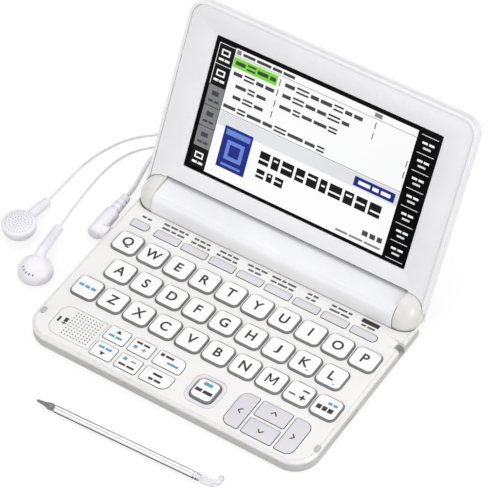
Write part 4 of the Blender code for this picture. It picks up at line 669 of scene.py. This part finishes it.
def keycap(name, left, right, front, rear):
    """Rounded block whose top is drawn in five times, for a sloping skirt and a soft edge."""
    cap = rounded(name, (left, front, 5.7), (right, rear, 7.55), 3, 8)
    for rise, inset in ((0.55, 0.45), (0.27, 0.33), (0.14, 0.30), (0.06, 0.40), (0.02, 0.5)):
        pick('FACE', lambda middle, normal: normal.z > 0.99)
        bpy.ops.mesh.inset(thickness=mm(inset))
        bpy.ops.transform.translate(value=(0, 0, mm(rise)))
    alone(cap)
    for finish in key_finishes:
        cap.data.materials.append(finish)
    for face in cap.data.polygons:
        face.material_index = 0 if face.normal.z > 0.62 and face.center.z > mm(8.3) else 1
    return cap


def join(item, *others):
    """Join other pieces into one piece."""
    put_down()
    for piece in (item, *others):
        piece.select_set(True)
    bpy.context.view_layer.objects.active = item
    bpy.ops.object.join()
    return item


# The M is built of four straight bars, and the three wide words of the real keys are dashes here.
legend_rows = {
    "key_m": ((-2.5, -1.75, -2.5, 2.5, 2), (1.75, 2.5, -2.5, 2.5, 2), (-3.28, 1.12, 0.2, 0.95, 2, -64),
              (-1.12, 3.28, 0.2, 0.95, 2, 64)),
    "shift_key": ((-4.4, -1.9, -0.6, 0.8, 3), (-1.2, 1.2, -0.6, 0.8, 3), (1.9, 4.4, -0.6, 0.8, 3)),
    "symbol_key": ((-4.2, -0.9, -2.1, -1.35, 2), (0.9, 4.1, 1.6, 2.5, 2), (1.1, 4.1, -2.15, -1.35, 2),
                   (2.2, 3, -3.2, -0.3, 2)),
    "delete_key": ((-0.4, 1.7, 1.4, 2.7, 3), (2.2, 4.3, 1.4, 2.7, 3), (-4.2, -1.9, -2.6, -0.2, 2),
                   (-1.3, 0.9, -2.6, -0.2, 2), (1.5, 3.9, -2.6, -0.2, 2))}
small_dashes = {"key_k": (2.35, 3.65, -3.6, -3.1, 1), "key_l": (2.15, 3.45, -4.2, -3.7, 1)}
letter_cap = keycap("letter_cap", -6.68, 6.68, -6.2, 6.2)
for key, (x, y) in key_spots.items():
    cap = twin(letter_cap, key.replace("key_", "cap_"))
    if key == "key_q":
        # An arch in the shell leaves room for the plug's pin when the key goes down.
        cut(cap, block("jack_arch", (-9, -0.8, 5), (2.6, 5.8, 7.1)))
    if key in legend_rows:
        legend = start_marks("legend", key_finishes, on_cap, *legend_rows[key])
    else:
        put_down()
        bpy.ops.object.text_add()
        text = bpy.context.object.data
        text.body, text.size, text.offset, text.extrude = key[-1].upper(), mm(6.8), mm(0.15), mm(0.02)
        text.materials.append(ink_black)
        legend = as_mesh(bpy.context.object)
        legend.scale = (1.25, 0.78, 1) if key == "key_j" else (1, 1, 1)
        points = [vertex.co for vertex in settle(legend).data.vertices]
        middle = [500 * (min(point[k] for point in points) + max(point[k] for point in points)) for k in (0, 1)]
        settle(legend, (-middle[0], -middle[1], 8.6))
        if key in small_dashes:
            legend.data.materials.append(ink_blue)
            edit(legend)
            add_marks(on_cap, small_dashes[key])
    settle(join(cap, legend), (x, y, 0))
    dress(smooth(cap), None, key, "key_white", key)
bpy.data.objects.remove(letter_cap, do_unlink=True)

# Enter key: a raised white cap inside a trim ring of lilac-grey ABS that fills the panel's recess.
# Its marks are plain dashes, one blue and two black.
enter = join(keycap("cap_enter", *enter_outline[:4]),
             start_marks("legend", key_finishes, on_cap, (12.6, 17, -37.4, -35.7, 3),
                         (10.8, 14, -41.6, -39.9, 2), (14.7, 19.2, -41.6, -39.9, 2)))
dress(smooth(enter), None, "enter_key", "key_white", "enter_key")

key_lilac = plastic("flush_key_abs_lilac_grey", "DEDCE0", "D5D3D7", 0.38, 1.2, 0.03)
ring_lilac = plastic("trim_ring_abs_pale_lilac", "E9E7EC", "E2E0E6", 0.36, 1.2, 0.02)
ring = rounded("enter_trim_ring", (7.25, -47.35, 6.95), (22.75, -31.45, 7.45), 4.35, 14)
cut(ring, hole_tool("ring_hole", enter_outline, 0.3, 5.5, 9))
dress(smooth(soften(ring, 0.15, 3)), ring_lilac, "base", "key_lilac")

# Flush keys: the power key, the function strip, six white side keys and the four cursor keys.
# Each group is moulded on one web under the panel, and its tops stand just proud of it.
# The keys' sides are painted dark grey, a painted shade for the narrow gaps round the flush keys.
key_gap_painted_shade = plastic("flush_key_side_grey", "4E4D50", "424144", 0.5, 1.2, 0.02)
for name, keys, finish, node, slot in (("power_cap", power_keys, key_lilac, "power_key", "key_lilac"),
        ("function_caps", function_keys, key_lilac, "function_keys", "key_lilac"),
        ("side_caps", side_keys, key_white, "side_keys", "key_white"),
        ("cursor_caps", cursor_keys, key_lilac, "cursor_keys", "key_lilac")):
    web = block(name, (min(key[0] for key in keys), min(key[2] for key in keys), 5.6),
                      (max(key[1] for key in keys), max(key[3] for key in keys), 6.15))
    caps = []
    for left, right, front, rear, radii in keys:
        caps.append(rounded("flush_cap", (left, front, 6), (right, rear, 7.75), radii, 7))
        bevel_rim(7.75, 0.25, 3)
    join(web, *caps)
    web.data.materials.append(finish)
    web.data.materials.append(key_gap_painted_shade)
    # Steep side faces take the painted gap shade; the tops keep the keys' own colour.
    for face in web.data.polygons:
        face.material_index = 0 if face.normal.z > 0.25 else 1
    dress(smooth(web, 40), None, node, slot, node)

# Marks on the flush keys: a chevron on each cursor key, and dashes and plain signs on the side keys.
# They are thin coats of printed ink.
on_flush = (7.73, 7.77)
cursor_marks = start_marks("cursor_marks", [ink_black], on_flush)
for x, y, way in ((33.4, -40.2, 180), (60.4, -40.2, 0), (47, -33.9, 90), (47, -45.3, 270)):
    for side in (-1, 1):
        tilt = radians(way + side * 42)
        middle_x = x + 0.75 * cos(radians(way)) - 1.05 * cos(tilt)
        middle_y = y + 0.75 * sin(radians(way)) - 1.05 * sin(tilt)
        add_marks(on_flush, (middle_x - 1.1, middle_x + 1.1, middle_y - 0.3, middle_y + 0.3, 0, way + side * 42))
dress(cursor_marks, None, "cursor_keys", "key_lilac")
side_marks = start_marks("side_marks", [ink_black, ink_blue], on_flush, (-35.6, -34.4, -33.4, -31.9, 0),
    (-36.2, -33.8, -33.5, -32.9, 0), (-35.6, -34.4, -47.2, -45.8, 0), (-36.2, -33.8, -46.2, -45.6, 0),
    (-25.5, -23.6, -36.2, -34.6, 1), (-21.4, -19, -35.65, -35.15, 1), (-20.45, -19.95, -36.6, -34.2, 1),
    (-25.5, -23.6, -44, -42.4, 1), (-21.4, -19, -43.45, -42.95, 0), (-12.7, -11, -33.5, -31.9, 0),
    (-10.2, -6, -33.3, -32.1, 0), (-7.8, -2, -36.2, -35, 1), (-9.6, -4.9, -44.1, -42.9, 0))
for x, low, high, slot, gap, *dashes in (
        (-38.6, -36.3, -35.1, 1, 0.6, 3, 3.2), (-38.6, -43.9, -42.7, 1, 0.6, 3, 3.2),
        (-25.6, -33.2, -32.1, 0, 0.7, 3, 3.1), (-25.9, -47.1, -46, 0, 0.7, 3.5, 3.8),
        (-10.2, -47.1, -45.9, 0, 0.7, 2.3, 3.2)):
    add_dashes(on_flush, x, low, high, slot, gap, *dashes)
dress(side_marks, None, "side_keys", "key_white")


# Hinge barrel: a glossy white ABS tube across the rear, flat along its top, that holds the two cells.
# The lid's pins turn in bores in its ends, and its bay opens at the rear.
def sector(item, low, high):
    """Keep the part of a piece between two angles about the barrel's centre line."""
    edit(item)
    for angle, way in ((radians(high), 1), (radians(low), -1)):
        bpy.ops.mesh.select_all(action='SELECT')
        bpy.ops.mesh.bisect(plane_co=mm(*BARREL_LINE), plane_no=(0, -way * sin(angle), way * cos(angle)),
                            use_fill=True, clear_outer=True)
    bpy.ops.mesh.select_all(action='SELECT')
    bpy.ops.mesh.normals_make_consistent()
    put_down()
    return item


gloss_white = plastic("barrel_abs_gloss_white", "F5F5F6", "EFEFF1", 0.17, 5, 0.004, {"Coat Weight": 0.2})
barrel = turned("barrel_tube", ((-63.9, 9.3), (-63.7, 9.5), (63.7, 9.5), (63.9, 9.3)), 144, BARREL_LINE, TO_X)
edit(cut(barrel, block("barrel_flat", (-70, 30, 16.8), (70, 56, 22))))
bevel_where(lambda middle, way: middle.z > mm(16.79) and abs(way.x) > 0.9, 0.35, 3)
cut(barrel, turned("cell_bay", ((-52.1, 7.5), (52.1, 7.5)), 64, (0, 42.8, 8.3), TO_X))
cut(barrel, sector(turned("bay_opening", ((-52.1, 14), (52.1, 14)), 48, BARREL_LINE, TO_X), -78, 18))
for side in (-1, 1):
    cut(barrel, turned("pin_bore", ((side * 57.5, 3.3), (side * 66, 3.3)), 48, HINGE_LINE, TO_X))
dress(smooth(barrel, 30), gloss_white, "base", "gloss_white", "hinge_barrel")

# Battery cover: a curved door of the same ABS that closes the bay from behind and slides off rearward.
# Seven ridges in its middle are moulded with it for the thumb.
door_white = plastic("battery_door_abs", "EFEEEC", "E8E7E4", 0.34, 1.2, 0.02)
cover = turned("battery_door_skin", ((-51.8, 9.5), (51.8, 9.5)), 144, BARREL_LINE, TO_X)
cut(cover, turned("skin_room", ((-60, 8.7), (60, 8.7)), 144, BARREL_LINE, TO_X))
sector(cover, -75.5, 15.5)
for i in range(7):
    ridge = rounded("grip_ridge", (-9, 9.3, -0.35), (9, 9.8, 0.35), 0.2, 2)
    weld(cover, settle(ridge, BARREL_LINE, (-52 + 8 * i, 0, 0)))
dress(smooth(soften(cover, 0.12), 30), door_white, "battery_door", "panel_white", "battery_cover")

# Hinge caps: two domed ends of warm white ABS that turn with the lid.
# Each is one moulding with the pin that runs in the barrel's bore.
cap_ivory = plastic("hinge_cap_abs_ivory", "EAE9E5", "E3E1DD", 0.26, 4, 0.006, {"Coat Weight": 0.1})
for side, label in ((-1, "left"), (1, "right")):
    pin_and_foot = [(side * x, r) for x, r in ((57.8, 2.6), (58.1, 3), (64.2, 3), (64.2, 9.05), (64.32, 9.22))]
    dome = turned("cap_dome_" + label, pin_and_foot + cap_profile(side, 0)[2:] + [(side * 73.99, 0.4)], 96,
                  HINGE_LINE, TO_X)
    dress(smooth(dome), cap_ivory, "lid", "cap_ivory", "hinge_cap_" + label)


# Lid shell: the glossy white outer half of the lid, a shallow ABS tray with a soft outer edge.
# It is modelled flat on the hinge axis and leaned back; its lower edge clears barrel and caps.
def lean(item):
    """Bring a piece modelled flat on the hinge axis to the lid's open place."""
    return settle(item, HINGE_LINE, (61, 0, 0))


def lid_room(item):
    """Cut the room for barrel and caps out of a lid piece that still lies flat."""
    cut(item, block("barrel_gap", (-64.2, -8, -14), (64.2, 10.2, 14)))
    for side in (-1, 1):
        cut(item, turned("cap_gap", cap_profile(side, 0.3), 96, turn=TO_X))


shell = rounded("lid_tray", (-74, -2.5, -5.9), (74, 95.8, 0.9), (0, 0, 8.5, 8.5), 14)
bevel_rim(-5.9, 2.2, 8)
bevel_rim(0.9, 0.35, 3)
cut(shell, rounded("bezel_pocket", (-72.6, -9, -1), (72.6, 94.4, 5), (0, 0, 7.1, 7.1), 12))
cut(shell, rounded("lid_hollow", (-72.6, 11.6, -4.7), (72.6, 94.4, -0.6), (0, 0, 7.1, 7.1), 12))
lid_room(shell)
dress(smooth(lean(shell), 30), gloss_white, "lid", "gloss_white", "lid_shell")

# Bezel: a cool white frame pressed into the shell round the screen, 1.2 mm thick.
# Its window has a soft edge down to the touch panel.
bezel_white = plastic("bezel_abs_cool_white", "F2F2F3", "EDEDEE", 0.30, 1.4, 0.015)
bezel = rounded("bezel_frame", (-72.43, -2.2, -0.7), (72.43, 94.23, 0.5), (0, 0, 6.9, 6.9), 12)
bevel_rim(0.5, 0.25, 3)
edit(cut(bezel, rounded("window", (-57.75, 18.2, -3), (59.15, 83.1, 3), 0.5, 4)))
bevel_where(lambda middle, way: middle.z > mm(0.49) and abs(way.z) < 0.1 and abs(middle.x - mm(0.7)) < mm(58.5)
            and mm(18.1) < middle.y < mm(83.2), 0.4, 3)
lid_room(bezel)
dress(smooth(lean(bezel), 30), bezel_white, "lid", "bezel_white", "lid_bezel")

# Lid gap shadow: a thin near-black strip along the lower edge of the lid, a painted shadow for the gap there.
# It sits in between bezel and shell and faces the barrel.
gap_shadow_dark = plastic("lid_gap_painted_shadow", "2E2D2F", "232224", 0.6, 0.9, 0.02)
gap_shadow_strip = block("lid_gap_shadow_strip", (-63.9, 9.9, -0.6), (63.9, 10.4, 0.48))
bevel_where(lambda middle, way: middle.y < mm(9.94) and abs(way.x) > 0.9, 0.1, 2)
dress(smooth(lean(gap_shadow_strip)), gap_shadow_dark, "lid", "bezel_white")

# Touch panel: polished black-edged glass seated in the bezel's window over the display module.
# What the display shows is thin lit layers on its face: plain tiles, bars and rules only.
glass = plastic("touch_glass_black", "060607", "030304", 0.12, 9, 0.001, {"Specular IOR Level": 0.04})
panel_glass = rounded("touch_glass", (-57.45, 18.5, -0.9), (58.85, 82.8, 0.2), 0.3, 3)
dress(smooth(lean(panel_glass)), glass, "lid", "touch_black", "touch_panel")


def lit_screen(name, light, dark):
    """Part of a backlit display: its own light, a little uneven, under a smooth film."""
    return toned_surface(name, light, dark, 40, 1, (0.35, 0.65), tint="Emission Color", inputs={
        "Base Color": linear("000000"), "Roughness": 0.35, "Specular IOR Level": 0.08, "Emission Strength": 1})[0]


screen_tones = [lit_screen(*tone) for tone in (
    ("lit_white", "FCFCFC", "F8F8F9"), ("lit_black", "121214", "0D0D0F"), ("lit_mid_grey", "868688", "7E7E80"),
    ("lit_leaf_green", "82E240", "78D838"), ("lit_deep_blue", "222E88", "1D287C"),
    ("lit_pale_grey", "E4E6EA", "DCDEE3"), ("lit_dark_grey", "4A4A4E", "424246"),
    ("lit_sky_blue", "6E8CD8", "6482CE"))]
WHITE, BLACK, GREY, GREEN, BLUE, PALE, DARK, SKY = range(8)
film = ((0.19, 0.23), (0.23, 0.26), (0.26, 0.29), (0.29, 0.32), (0.32, 0.35), (0.35, 0.38))
picture = start_marks("display_picture", screen_tones, film[0], (-47, 47.3, 20, 81, WHITE))
for low, high, tone in ((70.75, 80.3, BLACK), (60.75, 70.5, BLACK), (50.5, 60.3, GREY), (40.3, 50.2, GREY),
                        (30.1, 40, GREY), (20.2, 29.7, BLACK)):
    middle, ink = (low + high) / 2, WHITE if tone == BLACK else DARK
    add_marks(film[0], (-55.5, -47.3, low, high, tone))
    if tone == BLACK:
        add_marks(film[1], (-53.6, -49.2, middle - 0.4, middle + 2.6, WHITE))
        add_marks(film[2], (-52.9, -49.9, middle + 0.3, middle + 1.9, BLACK))
    else:
        add_marks(film[1], (-53.2, -49.6, middle + 0.2, middle + 2.4, DARK))
    add_dashes(film[1], -54.2, middle - 3, middle - 1.9, ink, 0.5, 2.6, 2.5)
add_marks(film[1], (-47, 47.3, 77.55, 77.8, GREY), (-46.3, -44, 78.3, 80.5, GREY), (25.5, 29.3, 78.4, 80.4, GREY),
          (-46.8, -23.7, 72.2, 77, GREEN), (-47, 47.3, 50.9, 51.2, GREY), (-55.6, -47.3, 80.3, 80.55, WHITE),
          (-55.6, -47.3, 70.5, 70.75, WHITE), (-55.6, -55.35, 60.5, 80.5, WHITE))
add_dashes(film[1], -43, 78.6, 80, DARK, 0.8, 6.4, 7.6, 4.8, 6)
for low, high, x, widths in ((73.2, 76, -45.6, (5.2, 4.4, 5.6, 3)), (68.2, 70.9, -45.3, (4.6, 5.4, 3.8, 4.6)),
        (62.9, 65.5, -42.8, (5.6, 3.6, 4.8)), (57.7, 60.3, -42.8, (4.2, 5.2, 4.6)),
        (52.3, 54.9, -46.2, (6.4, 4.2, 7.4, 5, 6.2, 8, 5.2, 3.9)),
        (68.2, 70.9, -19.5, (4.4, 5.8, 5, 4.6, 6.2, 3.8)), (62.9, 65.5, -19.5, (6, 3.8, 5.2, 6.6, 4.4)),
        (73.2, 76, -19.5, (5, 6.4, 4.2, 5.8, 4.8, 3.6, 4.4))):
    for i, width in enumerate(widths):
        if i % 3 == 1:
            add_marks(film[2], (x, x + width, high - 0.9, high, DARK), (x, x + width, low, low + 0.9, DARK))
        else:
            add_marks(film[2], (x, x + width, low + 0.5, high - 0.5, DARK))
        x += width + 1
for x, rows in ((-22.4, (73.4, 68.4, 63.1, 57.9)), (27, (73.4, 68.4)), (46, (63.1, 57.9))):
    for y in rows:
        add_marks(film[2], (x, x + 0.45, y - 0.4, y + 2.8, DARK))
for layer, *row in (
        (1, -46.6, 47.2, 20.1, 50.6, PALE), (2, -46.6, 47.2, 20.1, 44, WHITE), (3, -42.3, -27.4, 25.3, 45.3, BLUE),
        (4, -41.2, -28.5, 41.4, 44, SKY), (4, -39.4, -30.3, 30, 39.2, SKY), (5, -37.6, -32.1, 31.8, 37.4, BLUE),
        (4, -40, -29.7, 26.8, 27.9, SKY), (3, 24.7, 45.5, 44.8, 49.3, BLUE)):
    add_marks(film[layer], row)
add_dashes(film[4], 27, 46.2, 47.9, WHITE, 1.2, 6, 3.2, 4.8)
add_dashes(film[4], 35.3, 24.8, 27.2, DARK, 1, 2.9, 2.8, 2.5)
add_dashes(film[4], 22.6, 21.6, 22.6, GREY, 0.8, 6.2, 7, 8.3)
for low, high, x, widths in ((35, 41.1, -22.2, (5.2, 3.9, 6.1, 4.6, 5.4, 3.6, 6.4, 4.8, 5.6, 6)),
                             (28.4, 32.6, -21.8, (4.2, 2.9, 4.4))):
    for i, width in enumerate(widths):
        line = low + (high - low) * (0.3, 0.62, 0.45)[i % 3]
        add_marks(film[4], (x, x + width, low, high, BLACK))
        add_marks(film[5], (x + (0.9 if i % 2 else -0.1), x + width - (0.9 if i % 3 else -0.1), line, line + 0.8,
                            WHITE))
        x += width + 1.3
for i, y in enumerate((80.1, 71.6, 63.1, 54.5, 45.9, 37.4, 28.9, 20.3)):
    add_marks(film[0], (49.1, 57.6, y - 0.12, y + 0.12, WHITE))
    if i < 7:
        add_dashes(film[0], 50.4, y - 3.9, y - 2.9, WHITE, 0.7, 2.6, 2.6)
        add_marks(film[0], (51.4, 55.2, y - 6.2, y - 5.3, PALE))
dress(lean(picture), None, "lid", "touch_black")

# Stylus: a polished stainless tube with a dark grey moulded point and a clear hook at the other end.
# Point and hook are pressed into the tube; two grooves are rolled into the tube before the hook.
# Its underside is painted darker, a painted reflection of the dark surroundings that the real tube mirrors.
stylus_steel, shader, place, drawn, tone = metal("polished_stainless_tube", "E0E0E3", "C8C8CC", 1000, 3,
                                                 (0.05, 0.09))
nodes = stylus_steel.node_tree
along = add_node(nodes, 'Mapping', {"Scale": (1 / mm(45), 1 / mm(1.6), 1 / mm(1.6))}, {"Vector": place})
nodes.links.new(along.outputs["Vector"], drawn.inputs["Vector"])
# Painted reflection: below a height of 2.05 to 2.25 mm the tube's colour turns dark grey.
height = add_node(nodes, 'SeparateXYZ', links={"Vector": place})
under = add_node(nodes, 'MapRange', {"From Min": mm(2.05), "From Max": mm(2.25)},
                 {"Value": height.outputs["Z"]})
# Sockets 0, 6 and 7 of a colour mix are its factor and its two colours; output 2 is the colour.
steel = add_node(nodes, 'Mix', {6: linear("2C2B2D")}, {0: under, 7: tone}, data_type='RGBA')
nodes.links.new(steel.outputs[2], shader.inputs["Base Color"])
stylus_place, stylus_turn = (-37.1, -78.6, 1.8), (0, 0, 2.3)
tip_grey = plastic("stylus_point_grey", "8C8C8E", "7A7A7C", 0.35, 0.8, 0.02)
for name, finish, slot, node, profile in (("stylus_tube", stylus_steel, "stylus_steel", "stylus_barrel",
         ((0, 1.6), (0.12, 1.75), (70.6, 1.75), (70.65, 1.35), (71.05, 1.35), (71.1, 1.75), (72.1, 1.75),
          (72.15, 1.35), (72.55, 1.35), (72.6, 1.75), (73.05, 1.75), (73.2, 1.6))),
        ("stylus_point", tip_grey, "tip_grey", "stylus_tip",
         ((-0.02, 1.45), (-0.1, 1.55), (-0.8, 1.5), (-0.95, 1.2), (-1.15, 1.25), (-1.5, 1.62), (-2.3, 1.75),
          (-3.2, 1.68), (-4.4, 1.25), (-5.8, 0.95), (-8.9, 0.66), (-9.35, 0.52), (-9.6, 0.33), (-9.69, 0.1)))):
    piece = settle(turned(name, profile, 56, turn=TO_X), stylus_place, stylus_turn)
    dress(smooth(piece), finish, "stylus", slot, node)

hook_clear = plastic("hook_clear_polycarbonate", "F7F6FA", "EFEDF4", 0.05, 6, 0.002,
                             {"Transmission Weight": 0.7})
hook_route = ((0, 0, 1.55), (0.16, -0.01, 1.75), (0.42, -0.03, 1.7), (0.79, 0.06, 1.6), (0.94, 0.235, 1.5),
              (1, 0.42, 1.4), (0.98, 0.617, 1.2), (0.96, 0.66, 0.9), (0.955, 0.68, 0.4))
hook = edit(as_mesh(round_line("stylus_hook_clear", [(73.5 + 8.1 * x, 8.1 * y, min(radius - 1.75, 0), radius)
                                                     for x, y, radius in hook_route], 1, 8, 8)))
bpy.ops.mesh.remove_doubles(threshold=mm(0.001))
dress(smooth(settle(hook, stylus_place, stylus_turn), 60), hook_clear, "stylus", "hook_clear", "stylus_hook")

# Inside parts: board, key mat, speaker, jack, cells and display module keep their CAD shapes.
# They are fixed to the case by screws and posts that are not modelled.
tinned = {"Metallic": 1}
for node, finish in (("main_board", ("board_solder_mask", "2E6B45", "1F5435", 0.35, 0.6, 0.03)),
        ("key_mat", ("key_mat_silicone", "A9ABAE", "9DA0A3", 0.7, 1, 0.03)),
        ("headphone_jack", ("jack_glass_filled_nylon", "2A2A2C", "1C1C1E", 0.45, 0.7, 0.03)),
        ("battery_cells", ("cell_printed_sleeve", "3E4656", "2C3340", 0.3, 1.5, 0.01, {"Coat Weight": 0.4})),
        ("lcd_module", ("display_frame_tinned_steel", "B4B6B9", "9EA1A5", 0.32, 0.9, 0.02, tinned)),
        ("loudspeaker", ("speaker_basket_plated_steel", "8C8E92", "6E7075", 0.34, 0.7, 0.02, tinned))):
    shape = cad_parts[node]
    shape.data.materials.clear()
    shape.data.materials.append(plastic(*finish))
